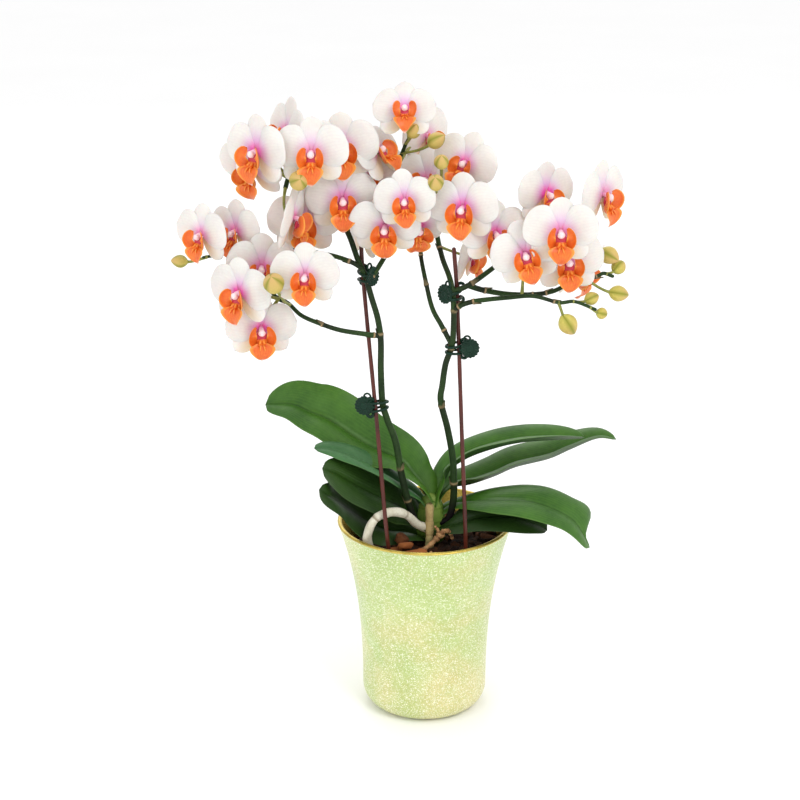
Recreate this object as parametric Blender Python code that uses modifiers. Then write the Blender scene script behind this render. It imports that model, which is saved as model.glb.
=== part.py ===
"""A potted moth orchid with many small flowers.

A glazed outer pot holds a thin nursery pot of bark. One plant grows in it: a crown with its
roots, strap leaves, and two branching flower spikes that are clipped to two thin stakes.
Metres, +Z up, origin in the middle of the pot's underside, the plant's front towards -Y.
"""

import math

import bmesh
import bpy
from mathutils import Euler, Matrix, Vector

MM = 0.001
TOUCH_GAP = 0.0003
SLIVER = 0.00002

# Outer pot: a flat foot, a rounded heel, and a wall that flares to the rim
POT_HEIGHT = 0.143
RIM_RADIUS = 0.063
HEEL_RADIUS = 0.0452
FOOT_RADIUS = 0.033
HEEL_HEIGHT = 0.014
POT_WALL = 0.0035
POT_FLOOR = 0.004
FLARE_POWER = 2.4

# Nursery pot and the bark in it
NURSERY_WALL = 0.0009
NURSERY_GAP = 0.0015
NURSERY_DROP = 0.026
BARK_DROP = 0.018
BARK_EDGE_DROP = 0.004

# Crown and buried roots
CROWN_RADIUS = 0.0085
CROWN_HEIGHT = 0.040
ROOT_BALL_RADIUS = 0.021
ROOT_BALL_DEPTH = 0.055
CROWN_PLACE = (4, -1)
CHIP_SIZE = (0.014, 0.006, 0.004)
CHIP_PLACE = (-0.024, -0.028)
CHIP_EDGE = 0.0008

LEAF_THICKNESS = 0.0022
LEAF_BASE_SHARE = 0.2
LEAF_FULL_AT = 0.6
ROOT_RADIUS = 0.0032

# Flower spikes
STEM_RADIUS = 0.0024
BRANCH_RADIUS = 0.0018
STEM_TAPER = 0.25
PEDICEL_RADIUS = 0.0009
STEM_START_DROP = 0.003
LEAF_START_DROP = 0.006

# Stakes and clips
STAKE_RADIUS = 0.0015
STAKE_DEPTH = 0.045
LAID_OUT_RIM = 0.063  # the rim radius that the stakes' feet below are laid out for
CLIP_HEIGHT = 0.0045
CLIP_WALL = 0.0013
CLIP_DISC_RADIUS = 0.0062
CLIP_DISC_THICKNESS = 0.003

# Flowers
PETAL_REACH = 0.0235
SEPAL_REACH = 0.0215
PETAL_THICKNESS = 0.0011
FLOWER_CUP = 0.0025
PETAL_WIDTH = 0.023
TOP_SEPAL_WIDTH = 0.0155
SIDE_SEPAL_WIDTH = 0.014
FACE_MIDDLE = 0.006
LIP_PLACE = (0.0, -0.005, 0.004)
LIP_SIZE = (0.008, 0.0065, 0.0055)
STALK_BEND = 0.009

BARK_HEIGHT = POT_HEIGHT - BARK_DROP

# The spikes' centre lines, in mm from the pot's axis and above the bark
SPIKE_PATHS = {
    "left": {
        "main": [(-6, -12, 19), (-11, -14, 32), (-17, -20, 60), (-21, -26, 86), (-27, -30, 105),
                 (-30, -33, 118), (-31, -34, 141), (-31, -35, 163), (-33, -34, 178),
                 (-37, -33, 192), (-41, -32, 206), (-46, -29, 217), (-51, -23, 230),
                 (-56, -16, 240), (-60, -10, 254), (-66, -6, 268), (-77, -8, 277),
                 (-87, -12, 276), (-92, -18, 271), (-94, -22, 265)],
        "low": [(-31, -35, 166), (-44, -39, 169), (-58, -41, 172), (-70, -41, 176),
                (-84, -37, 181), (-93, -32, 188), (-100, -27, 190), (-107, -22, 196),
                (-111, -20, 207)],
        "middle": [(-43, -31, 212), (-51, -32, 217), (-65, -26, 220), (-85, -18, 221),
                   (-106, -12, 220), (-124, -10, 218), (-143, -12, 216), (-151, -14, 215)],
        "upper": [(-40, -33, 203), (-33, -27, 211), (-24, -11, 224), (-20, -4, 242),
                  (-18, 0, 259), (-18, -1, 278), (-15, -6, 289), (-12, -10, 296)],
    },
    "right": {
        "main": [(17, -6, 21), (20, -8, 36), (20, -11, 52), (19, -14, 70), (15, -20, 94),
                 (10, -28, 117), (11, -31, 130), (13, -34, 146), (17, -36, 159),
                 (18, -36, 171), (18, -36, 186), (17, -36, 198), (15, -29, 206),
                 (11, -16, 214), (8, -5, 224), (6, -1, 236), (8, -4, 248), (11, -8, 256)],
        "inner": [(17, -36, 160), (10, -30, 172), (4, -24, 182), (0, -15, 196),
                  (-4, -4, 216), (-3, 0, 233), (0, -1, 247), (3, -3, 257)],
        "top": [(17, -36, 197), (29, -34, 202), (44, -24, 210), (56, -14, 217),
                (70, -8, 223), (85, -4, 227), (101, -4, 231), (110, -8, 228)],
        "low": [(18, -36, 185), (25, -40, 190), (35, -42, 193), (54, -42, 195),
                (71, -42, 196), (88, -40, 191), (99, -38, 191), (113, -36, 185)],
        "outer": [(28, -34, 201), (38, -31, 197), (54, -30, 194), (71, -31, 194),
                  (84, -31, 196), (94, -29, 200), (104, -28, 203), (114, -26, 205),
                  (119, -25, 207), (125, -25, 205)],
    },
}

# Buds: spike, where the stalk leaves its stem and the bud's middle, in mm above the bark,
# then the bud's length and width in mm
BUDS = [
    ("left", (-90, -16, 273), (-84, -40, 275), 15, 13),
    ("left", (-92, -33, 187), (-100, -70, 213), 17, 14),
    ("left", (-149, -14, 215), (-167, -16, 213), 12, 9),
    ("left", (-14, -9, 291), (-9, -16, 302), 12, 10),
    ("left", (-17, -7, 283), (6, -18, 296), 15, 11),
    ("right", (10, -7, 254), (10, -21, 284), 12, 10),
    ("right", (9, -5, 250), (5, -26, 271), 14, 11),
    ("right", (109, -8, 229), (123, -20, 218), 16, 12),
    ("right", (121, -25, 206), (130, -16, 209), 12, 10),
    ("right", (107, -27, 203), (130, -22, 192), 15, 11),
    ("right", (98, -38, 191), (111, -30, 191), 12, 9),
    ("right", (110, -36, 187), (118, -32, 181), 9, 8),
    ("right", (88, -40, 191), (95, -38, 175), 17, 13),
]

# Flowers: place of the centre in mm above the bark, then the turn to the right of straight
# ahead, the lift above level, and the roll to the left of upright, in degrees
FLOWERS = {
    "left_1": ((-111, -45, 294), -35, 0, 0),
    "left_2": ((-75, -52, 295), -3, 3, 0),
    "left_3": ((-56, -32, 294), 5, 0, 0),
    "left_4": ((-41, -15, 273), 0, 0, 0),
    "left_5": ((-94, -14, 300), -60, 10, 0),
    "left_6": ((-117, -22, 278), -30, -20, 0),
    "left_7": ((-150, -30, 235), -35, 0, 0),
    "left_8": ((-128, -22, 235), -35, 0, 0),
    "left_9": ((-110, -36, 214), 0, 0, 0),
    "left_10": ((-80, -56, 214), -5, 0, 0),
    "left_11": ((-124, -52, 201), -30, 0, 0),
    "left_12": ((-111, -44, 174), 10, -8, 0),
    "left_13": ((-82, -24, 242), 0, 0, 0),
    "left_14": ((-88, -50, 250), 76, -10, 0),
    "left_15": ((-56, -31, 259), 5, 0, 0),
    "left_16": ((-44, -7, 234), 120, 10, 0),
    "middle_1": ((-16, -12, 319), 0, 35, 0),
    "middle_2": ((-36, 8, 285), -20, 55, -50),
    "middle_3": ((-34, 20, 264), 40, -10, 0),
    "middle_4": ((0, 34, 288), 50, 0, 0),
    "middle_5": ((24, -12, 284), -20, 20, -60),
    "middle_6": ((-15, -50, 263), -5, 0, 10),
    "middle_7": ((-28, -40, 243), -5, -15, 0),
    "middle_8": ((-6, -24, 240), 15, -35, 0),
    "middle_9": ((23, -42, 256), -15, 0, 0),
    "middle_10": ((0, 12, 262), -20, 20, 0),
    "right_1": ((46, -29, 236), 15, 0, 0),
    "right_2": ((64, -46, 227), 0, 0, 17),
    "right_3": ((86, -62, 245), 0, 0, 0),
    "right_4": ((79, -26, 262), 30, 0, 0),
    "right_5": ((117, -22, 260), 50, 0, 0),
    "right_6": ((94, -36, 219), 5, 0, 0),
    "right_7": ((108, 2, 202), 60, -30, 0),
    "right_8": ((28, 4, 209), -60, -10, 0),
}

# Where a flower's stalk leaves its stem, in mm above the bark, if not at the nearest place
STALK_STARTS = {
    "left_11": (-99, -28, 190),
    "middle_4": (-18, -1, 278),
    "right_2": (64, -31, 194),
    "right_3": (72, -7, 223),
}

# Leaves: midrib in mm above the bark, half width in mm, tilt towards the front in degrees,
# and the rise of each half at the base and at the tip in degrees
LEAVES = {
    "leaf_left_1": ([(-8, 3, 49), (-19, 8, 60), (-42, 14, 69), (-68, 20, 85),
                     (-82, 24, 90), (-96, 27, 95), (-115, 30, 94)], 22, 38, 40, 20),
    "leaf_left_2": ([(-17, -3, 39), (-36, -11, 54), (-53, -17, 65), (-67, -20, 71),
                     (-78, -22, 74)], 12, -8, 30, 5),
    "leaf_left_3": ([(-19, -5, 23), (-34, -15, 34), (-49, -24, 46), (-62, -30, 58),
                     (-72, -34, 66)], 17, 12, 20, 6),
    "leaf_left_4": ([(-29, -11, 14), (-45, -19, 26), (-58, -29, 40), (-67, -38, 50),
                     (-74, -42, 57)], 15, 48, 20, 5),
    "leaf_right_1": ([(14, 5, 48), (18, 6, 55), (31, 8, 63), (50, 8, 70), (68, 8, 74),
                      (89, 7, 76), (113, 4, 78)], 17, 0, 28, 26),
    "leaf_right_2": ([(19, 12, 38), (33, 19, 38), (50, 24, 42), (66, 27, 48), (90, 30, 53),
                      (106, 31, 60), (125, 31, 68), (139, 30, 67)], 19, 0, 40, 22),
    "leaf_right_3": ([(20, 7, 31), (38, -2, 38), (57, -17, 42), (75, -29, 43),
                      (92, -38, 39), (104, -43, 32), (114, -46, 15)], 22, 8, 5, 3),
    "leaf_right_4": ([(20, -16, 17), (38, -17, 26), (58, -20, 28), (76, -22, 24),
                      (86, -23, 19)], 14, 25, 15, 5),
}

STAKES = {
    "stake_left": [(-26, -44, 14), (-34, -37, 106), (-41, -29, 183), (-43.5, -25, 215),
                   (-44, -24, 228)],
    "stake_right": [(28, -38, 11), (24, -36, 106), (20.5, -31, 190), (18, -30, 225)],
}

# Clips: spike, stake, height in mm above the bark, side of the disc
CLIPS = {
    "clip_left_low": ("left", "stake_left", 116, -1),
    "clip_left_top": ("left", "stake_left", 203, 1),
    "clip_right_low": ("right", "stake_right", 157, 1),
    "clip_right_top": ("right", "stake_right", 191, -1),
}

# Roots: path in mm above the bark and thickness against the thickest root
ROOTS = {
    "root_white": ([(-5, -18, 24), (-11, -22, 33), (-18, -28, 39), (-24, -33, 42), (-29, -36.4, 42),
                    (-34, -39, 40), (-38.5, -40, 31), (-41, -35.5, 17), (-38.5, -31, 6),
                    (-38.5, -31, 0)], 1.0),
    "root_tan": ([(3, -13.1, 33), (3, -13, 26), (3, -14, 20), (3, -17, 11), (3, -17.5, 5),
                  (3, -17.5, 0)], 0.9),
    "root_dried": ([(-15, -33, 1.8), (-5, -31, 5), (3, -28, 9), (8, -25, 13),
                    (15, -23, 11)], 0.55),
}


def start_empty():
    for item in list(bpy.data.objects):
        bpy.data.objects.remove(item, do_unlink=True)
    collection = bpy.data.collections.new("potted_orchid")
    bpy.context.scene.collection.children.link(collection)
    return collection


def finish(name, color, roughness, metallic=0.0):
    material = bpy.data.materials.new(name)
    material.use_nodes = True
    shader = material.node_tree.nodes["Principled BSDF"]
    shader.inputs["Base Color"].default_value = (*color, 1.0)
    shader.inputs["Roughness"].default_value = roughness
    shader.inputs["Metallic"].default_value = metallic
    return material


def add_object(name, mesh, material=None, collection=None):
    """A new object for a mesh, in the scene's own collection unless another is given."""
    item = bpy.data.objects.new(name, mesh)
    if material:
        mesh.materials.append(material)
    (collection or bpy.context.scene.collection).objects.link(item)
    return item


def evaluated_mesh(item):
    bpy.context.view_layer.update()
    graph = bpy.context.evaluated_depsgraph_get()
    return bpy.data.meshes.new_from_object(item.evaluated_get(graph))


def weld(mesh, distance=1e-6):
    """Joins the points that lie closer than the distance and closes slivers of that size."""
    cage = bmesh.new()
    cage.from_mesh(mesh)
    bmesh.ops.dissolve_degenerate(cage, edges=cage.edges, dist=distance)
    bmesh.ops.remove_doubles(cage, verts=cage.verts, dist=distance)
    bmesh.ops.recalc_face_normals(cage, faces=cage.faces)
    cage.to_mesh(mesh)
    cage.free()


def bake(item):
    """Replaces an object's mesh with its modified mesh."""
    mesh = evaluated_mesh(item)
    item.modifiers.clear()
    item.data = mesh


def combine(base, others, operation):
    """Joins the others to the base, or cuts them from it, and removes them."""
    for other in others:
        cut = base.modifiers.new(other.name, "BOOLEAN")
        cut.object = other
        cut.operation = operation
        cut.solver = "EXACT"
    bake(base)
    weld(base.data, SLIVER)
    for other in others:
        bpy.data.objects.remove(other, do_unlink=True)


def turned(name, profile, steps):
    """A solid of revolution. The profile is a list of (radius, height)."""
    mesh = bpy.data.meshes.new(name)
    points = [(radius, 0.0, height) for radius, height in profile]
    edges = [(index, index + 1) for index in range(len(points) - 1)]
    mesh.from_pydata(points, edges, [])
    item = add_object(name, mesh)
    turn = item.modifiers.new("turn", "SCREW")
    turn.steps = steps
    turn.render_steps = steps
    turn.use_merge_vertices = True
    turn.merge_threshold = 1e-5
    turn.use_smooth_shade = True
    bake(item)
    weld(item.data)
    return item


def tube(name, path, radius, end_radius=None, resolution=1):
    """A round solid with flat ends that follows a path."""
    end_radius = end_radius or radius
    curve = bpy.data.curves.new(name, "CURVE")
    curve.dimensions = "3D"
    curve.bevel_depth = radius
    curve.bevel_resolution = resolution
    curve.use_fill_caps = True
    line = curve.splines.new("POLY")
    line.points.add(len(path) - 1)
    for index, place in enumerate(path):
        share = index / (len(path) - 1)
        line.points[index].co = (*place, 1.0)
        line.points[index].radius = 1.0 + share * (end_radius / radius - 1.0)
    holder = add_object(name, curve)
    mesh = evaluated_mesh(holder)
    bpy.data.objects.remove(holder, do_unlink=True)
    weld(mesh)
    return add_object(name, mesh)


def ball(name, place, size, divisions=2, turn=None):
    """An egg-shaped solid with the given half sizes."""
    mesh = bpy.data.meshes.new(name)
    cage = bmesh.new()
    bmesh.ops.create_icosphere(cage, subdivisions=divisions, radius=1.0)
    shape = Matrix.Diagonal((*size, 1.0))
    if turn:
        shape = turn.to_matrix().to_4x4() @ shape
    bmesh.ops.transform(cage, matrix=Matrix.Translation(place) @ shape, verts=cage.verts)
    cage.to_mesh(mesh)
    cage.free()
    return add_object(name, mesh)


def above_bark(point):
    """A place given in mm from the pot's axis and above the bark, in metres."""
    return Vector(point) * MM + Vector((0.0, 0.0, BARK_HEIGHT))


def smooth_path(points, spans=2):
    """Points along the smooth curve through the given points."""
    ends = [points[0] * 2 - points[1], *points, points[-1] * 2 - points[-2]]
    path = []
    for index in range(1, len(ends) - 2):
        before, start, stop, after = ends[index - 1:index + 3]
        for step in range(spans):
            t = step / spans
            path.append(0.5 * (2 * start + (stop - before) * t
                               + (2 * before - 5 * start + 4 * stop - after) * t ** 2
                               + (3 * start - before - 3 * stop + after) * t ** 3))
    path.append(points[-1])
    return path


def nearest_on_path(path, place):
    """The point of a path nearest to a place, how far it is and its share of the path."""
    best = None
    for index, (start, stop) in enumerate(zip(path, path[1:])):
        along = stop - start
        share = min(max((place - start).dot(along) / along.length_squared, 0.0), 1.0)
        point = start + along * share
        if best is None or (point - place).length < best[1]:
            best = (point, (point - place).length, (index + share) / (len(path) - 1))
    return best


# Pots and bark


def pot_radius(height):
    """The outer pot's outside radius at a height."""
    if height < HEEL_HEIGHT:
        round_share = math.sqrt(1 - (1 - height / HEEL_HEIGHT) ** 2)
        return FOOT_RADIUS + (HEEL_RADIUS - FOOT_RADIUS) * round_share
    flare = ((height - HEEL_HEIGHT) / (POT_HEIGHT - HEEL_HEIGHT)) ** FLARE_POWER
    return HEEL_RADIUS + (RIM_RADIUS - HEEL_RADIUS) * flare


def pot_inside(height):
    return pot_radius(height) - POT_WALL


def heights(low, high, count):
    return [low + (high - low) * step / count for step in range(count + 1)]


def make_outer_pot():
    inside = [(0.0, POT_FLOOR)]
    inside += [(pot_inside(height), height) for height in heights(POT_FLOOR, HEEL_HEIGHT, 2)]
    lip = POT_HEIGHT - POT_WALL / 2
    inside += [(pot_inside(height), height) for height in heights(HEEL_HEIGHT, lip, 5)[1:]]
    rim = [(RIM_RADIUS - POT_WALL * 0.75, POT_HEIGHT), (RIM_RADIUS - POT_WALL * 0.25, POT_HEIGHT)]
    outside = [(pot_radius(height), height) for height in heights(HEEL_HEIGHT, lip, 6)]
    heel = [(pot_radius(height), height) for height in heights(0.0, HEEL_HEIGHT, 3)[:-1]]
    profile = inside + rim + outside[::-1] + heel[::-1] + [(0.0, 0.0)]
    return turned("ceramic_pot", profile, 32)


def nursery_outside(height):
    return pot_inside(height) - NURSERY_GAP


def make_nursery_pot():
    low = POT_FLOOR + TOUCH_GAP
    high = POT_HEIGHT - NURSERY_DROP
    floor = low + NURSERY_WALL
    inside = [(nursery_outside(height) - NURSERY_WALL, height) for height in heights(floor, high, 4)]
    outside = [(nursery_outside(height), height) for height in heights(low, high, 4)]
    return turned("nursery_pot", [(0.0, floor)] + inside + outside[::-1] + [(0.0, low)], 28)


def crown_profile(gap=0.0):
    """Radius and height of the crown and its root ball, from the tip down."""
    shape = [(0.0, CROWN_HEIGHT + 0.012), (0.45, CROWN_HEIGHT + 0.007), (0.8, CROWN_HEIGHT),
             (1.0, CROWN_HEIGHT * 0.75), (1.0, CROWN_HEIGHT * 0.4), (1.1, 0.0)]
    crown = [(CROWN_RADIUS * share, height) for share, height in shape]
    ball_shape = [(0.75, 0.2), (1.0, 0.45), (0.85, 0.8), (0.4, 1.0)]
    roots = [(ROOT_BALL_RADIUS * share, -ROOT_BALL_DEPTH * depth) for share, depth in ball_shape]
    profile = crown + roots + [(0.0, -ROOT_BALL_DEPTH)]
    return [(radius + gap if radius else 0.0, height) for radius, height in profile[:-1]] + [
        (0.0, -ROOT_BALL_DEPTH - gap)]


def crown_side(height):
    """The crown's radius at a height above the bark."""
    profile = crown_profile()
    for (upper, top), (lower, bottom) in zip(profile, profile[1:]):
        if bottom <= height <= top:
            return lower + (upper - lower) * (height - bottom) / (top - bottom)
    return 0.0


def beside_wall(place):
    """The place moved in or out with the rim, so that it keeps its distance from the wall."""
    away = math.hypot(place.x, place.y)
    share = (away + RIM_RADIUS - LAID_OUT_RIM) / away
    return Vector((place.x * share, place.y * share, place.z))


def kept_in_pot(place, radius):
    """The place, pulled in where something that thick would touch the pot's wall."""
    away = math.hypot(place.x, place.y)
    room = pot_inside(min(place.z, POT_HEIGHT)) - radius - 2 * TOUCH_GAP
    share = min(1.0, room / away)
    return Vector((place.x * share, place.y * share, place.z))


def crown_axis():
    return above_bark((*CROWN_PLACE, 0))


def make_crown():
    crown = turned("plant_crown", crown_profile(), 16)
    crown.location = crown_axis()
    return crown


def stake_path(name):
    """A stake's centre line, from its foot in the bark to its top."""
    path = [above_bark(point) for point in STAKES[name]]
    path[0] = beside_wall(path[0])
    down = (path[0] - path[1]).normalized()
    foot = path[0] + down * (STAKE_DEPTH / -down.z)
    reach = nursery_outside(foot.z) - NURSERY_WALL - STAKE_RADIUS - 4 * TOUCH_GAP
    if math.hypot(foot.x, foot.y) > reach:
        pull = reach / math.hypot(foot.x, foot.y)
        foot = Vector((foot.x * pull, foot.y * pull, foot.z))
    return [foot] + path


def make_bark():
    """Bark that fills the nursery pot, laps over its edge and closes round crown and stakes."""
    low = POT_FLOOR + NURSERY_WALL + 2 * TOUCH_GAP
    nursery_top = POT_HEIGHT - NURSERY_DROP
    lap = nursery_top + TOUCH_GAP
    wall = NURSERY_WALL + TOUCH_GAP
    side = [(nursery_outside(height) - wall, height) for height in heights(low, nursery_top, 4)]
    side[-1] = (side[-1][0], lap)
    edge = BARK_HEIGHT - BARK_EDGE_DROP
    top = [(0.0, BARK_HEIGHT), (0.85 * pot_inside(edge), BARK_HEIGHT)]
    skirt = [(pot_inside(edge) - 3 * TOUCH_GAP, edge), (pot_inside(lap) - 3 * TOUCH_GAP, lap)]
    bark = turned("bark_bed", top + skirt + side[::-1] + [(0.0, low)], 28)
    pocket = turned("crown_pocket", crown_profile(TOUCH_GAP), 16)
    pocket.location = crown_axis()
    holes = [tube("hole", smooth_path(stake_path(name), 1)[:3], STAKE_RADIUS + TOUCH_GAP, resolution=2)
             for name in STAKES]
    for hole in holes:
        deepen(hole, TOUCH_GAP)
    combine(bark, [pocket, *holes], "DIFFERENCE")
    return bark


def deepen(hole, gap):
    """Moves a bored hole's lower end down by a gap."""
    lowest = min(vertex.co.z for vertex in hole.data.vertices)
    for vertex in hole.data.vertices:
        if vertex.co.z < lowest + 4 * gap:
            vertex.co.z -= gap


def make_bark_chip():
    chip = bpy.data.meshes.new("bark_chip")
    cage = bmesh.new()
    bmesh.ops.create_cube(cage, size=1.0)
    size = Matrix.Diagonal((*CHIP_SIZE, 1.0))
    turn = Euler((math.radians(8), 0.0, math.radians(35))).to_matrix().to_4x4()
    bmesh.ops.transform(cage, matrix=turn @ size, verts=cage.verts)
    cage.to_mesh(chip)
    cage.free()
    item = add_object("bark_chip", chip)
    edge = item.modifiers.new("worn_edge", "BEVEL")
    edge.width = CHIP_EDGE
    edge.segments = 1
    bake(item)
    lowest = min(vertex.co.z for vertex in item.data.vertices)
    item.location = Vector((*CHIP_PLACE, BARK_HEIGHT - lowest + TOUCH_GAP))
    return item


# Plant


def make_roots():
    roots = []
    for name, (points, share) in ROOTS.items():
        path = smooth_path([above_bark(point) for point in points])
        path = [kept_in_pot(place, ROOT_RADIUS * share) for place in path]
        for end in (path[0], path[-1]):
            end.z = max(end.z, BARK_HEIGHT + TOUCH_GAP)
        roots.append(tube(name, path, ROOT_RADIUS * share))
    return roots


def leaf_path(points):
    """A leaf's midrib, starting a touch gap off the crown."""
    path = [above_bark(point) for point in points]
    axis = crown_axis()
    out = Vector((path[0].x - axis.x, path[0].y - axis.y, 0.0)).normalized()
    start = Vector((axis.x, axis.y, path[0].z - LEAF_START_DROP))
    reach = crown_side(start.z - BARK_HEIGHT - LEAF_THICKNESS) + LEAF_THICKNESS / 3 + TOUCH_GAP
    path.insert(0, start + out * reach)
    return path


def make_leaf(name, points, half_width, tilt, base_rise, tip_rise):
    """A folded strap leaf: a grid along the midrib, each half rising by its own angle."""
    path = smooth_path(leaf_path(points), 2)
    length_steps = len(path) - 1
    cage = bmesh.new()
    bmesh.ops.create_grid(cage, x_segments=length_steps, y_segments=4, size=1.0)
    for vertex in cage.verts:
        share = (vertex.co.x + 1) / 2
        across = vertex.co.y
        index = min(int(round(share * length_steps)), length_steps)
        along = (path[min(index + 1, length_steps)] - path[max(index - 1, 0)]).normalized()
        side = along.cross(Vector((0, 0, 1))).normalized()
        if side.y > 0:
            side = -side
        up = side.cross(along)
        if up.z < 0:
            up = -up
        swell = math.sin(math.pi / 2 * min(share / LEAF_FULL_AT, 1.0)) ** 1.5
        taper = math.sqrt(max(1.0 - max(share - LEAF_FULL_AT, 0.0) ** 2 / (1 - LEAF_FULL_AT) ** 2, 0.0))
        width = half_width * MM * (LEAF_BASE_SHARE + (1 - LEAF_BASE_SHARE) * swell) * (taper + 0.03)
        rise = math.radians(base_rise + (tip_rise - base_rise) * share ** 0.5)
        lean = math.radians(tilt) * min(3 * share, 1.0)
        turn = rise - lean if across > 0 else rise + lean
        offset = side * across * math.cos(turn) + up * abs(across) * math.sin(turn)
        vertex.co = path[index] + offset * width
    mesh = bpy.data.meshes.new(name)
    cage.to_mesh(mesh)
    cage.free()
    leaf = add_object(name, mesh)
    skin = leaf.modifiers.new("blade", "SOLIDIFY")
    skin.thickness = LEAF_THICKNESS
    skin.offset = 0.0
    bake(leaf)
    weld(leaf.data)
    return leaf


def crown_root(place):
    """A short straight start that leads from the crown's side towards a place."""
    axis = crown_axis()
    out = Vector((place.x - axis.x, place.y - axis.y, 0.0)).normalized()
    start = Vector((axis.x, axis.y, place.z - STEM_START_DROP))
    reach = crown_side(start.z - BARK_HEIGHT) + TOUCH_GAP
    return [start + out * reach, start + out * (reach + 1 * MM)]


def spike_lines(spike):
    """Each stem of a spike as a smooth centre line with its radius."""
    lines = {}
    for branch, points in SPIKE_PATHS[spike].items():
        path = [above_bark(point) for point in points]
        if branch == "main":
            path = crown_root(path[0]) + path
        lines[branch] = (path, STEM_RADIUS if branch == "main" else BRANCH_RADIUS)
    return lines


def nearest_stem(spikes, place):
    """The nearest point on the stems of some spikes, with the stem's radius there."""
    found = []
    for spike in spikes:
        for path, radius in spike_lines(spike).values():
            point, distance, share = nearest_on_path(path, place)
            found.append((distance, point, radius * (1 - STEM_TAPER * share)))
    distance, point, radius = min(found, key=lambda one: one[0])
    return point, radius


def make_bud(spike, stalk_start, point, length, width):
    """A closed bud and its short stalk, which starts inside the stem that it grows from."""
    place = above_bark(point)
    root = nearest_stem([spike], above_bark(stalk_start))[0]
    away = (place - root).normalized()
    turn = away.to_track_quat("Z", "Y")
    size = Vector((width, width, length)) * (MM / 2)
    bud = ball("bud", place, size, 2, turn)
    stalk = tube("bud_stalk", [root, root.lerp(place, 0.5), place], PEDICEL_RADIUS)
    return [bud, stalk]


def make_spike(spike):
    """One flower spike: the stem, its branches and its unopened buds grown as one."""
    lines = spike_lines(spike)
    main = lines.pop("main")
    slim = 1 - STEM_TAPER
    stem = tube(f"spike_{spike}", main[0], main[1], main[1] * slim)
    grown = [tube(branch, path, radius, radius * slim) for branch, (path, radius) in lines.items()]
    for bud_spike, *shape in BUDS:
        if bud_spike == spike:
            grown += make_bud(spike, *shape)
    combine(stem, grown, "UNION")
    return stem


def flower_turn(turn_right, lift, roll):
    """The rotation of a flower whose own +Z looks out of its face and +Y points up."""
    face = Euler((math.radians(90 - lift), 0.0, math.radians(turn_right)))
    return face.to_matrix() @ Euler((0.0, 0.0, math.radians(roll))).to_matrix()


def lobe_reach(angle, middle, length, width):
    """How far an oval lobe reaches from the flower's centre at an angle. The oval starts
    a little behind the centre and ends at its length."""
    away = angle - middle
    half_long = length / 2 + 1 * MM
    shift = length - half_long
    across = width / 2
    bend = (across * math.cos(away)) ** 2 + (half_long * math.sin(away)) ** 2
    inside = bend - (shift * math.sin(away)) ** 2
    if inside < 0:
        return 0.0
    return (shift * across ** 2 * math.cos(away) + half_long * across * math.sqrt(inside)) / bend


def flower_reach(angle):
    """The outline of the open flower: two broad petals and three narrower sepals."""
    lobes = [(90, SEPAL_REACH, TOP_SEPAL_WIDTH),
             (14, PETAL_REACH, PETAL_WIDTH), (166, PETAL_REACH, PETAL_WIDTH),
             (-50, SEPAL_REACH, SIDE_SEPAL_WIDTH), (230, SEPAL_REACH, SIDE_SEPAL_WIDTH)]
    reaches = []
    for middle, length, width in lobes:
        away = (angle - middle + 180) % 360 - 180
        if abs(away) < 88:
            reaches.append(lobe_reach(math.radians(away), 0.0, length, width))
    return max(reaches + [FACE_MIDDLE])


def make_flower(name, point, pose):
    """One open flower with its lip and its stalk, which ends just off the stem."""
    place = above_bark(point)
    turn = flower_turn(*pose)
    rays = 24
    cage = bmesh.new()
    bmesh.ops.create_circle(cage, cap_ends=True, cap_tris=True, segments=rays, radius=1.0)
    for vertex in cage.verts:
        angle = math.degrees(math.atan2(vertex.co.y, vertex.co.x))
        share = vertex.co.xy.length
        reach = flower_reach(angle) * share
        way = vertex.co.xy.normalized() if share > 0 else Vector((0.0, 0.0))
        vertex.co = Vector((way.x * reach, way.y * reach, FLOWER_CUP * share ** 2))
    mesh = bpy.data.meshes.new(name)
    cage.to_mesh(mesh)
    cage.free()
    flower = add_object(f"flower_{name}", mesh)
    skin = flower.modifiers.new("petals", "SOLIDIFY")
    skin.thickness = PETAL_THICKNESS
    skin.offset = 0.0
    bake(flower)
    weld(flower.data)
    lip = ball("lip", Vector(LIP_PLACE), LIP_SIZE, 1)
    to_local = turn.transposed()
    back = place + turn @ Vector((0.0, 0.0, -STALK_BEND))
    group = name.split("_")[0]
    spikes = [group] if group in SPIKE_PATHS else list(SPIKE_PATHS)
    start = above_bark(STALK_STARTS[name]) if name in STALK_STARTS else back
    stem, radius = nearest_stem(spikes, start)
    end = stem + (back - stem).normalized() * (radius + 1.5 * TOUCH_GAP)
    knee = back.lerp(end, 0.35)
    path = smooth_path([place, back, knee, end], 1)
    local_path = [to_local @ (point - place) for point in path]
    stalk = tube("stalk", local_path, PEDICEL_RADIUS)
    combine(flower, [lip, stalk], "UNION")
    flower.rotation_euler = turn.to_euler()
    flower.location = place
    return flower


# Stakes and clips


def make_stake(name):
    return tube(name, smooth_path(stake_path(name), 1), STAKE_RADIUS, resolution=2)


def path_at_height(path, height):
    """The point of a rising path at a height."""
    for start, stop in zip(path, path[1:]):
        if start.z <= height <= stop.z:
            return start.lerp(stop, (height - start.z) / (stop.z - start.z))
    return path[-1]


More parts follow.
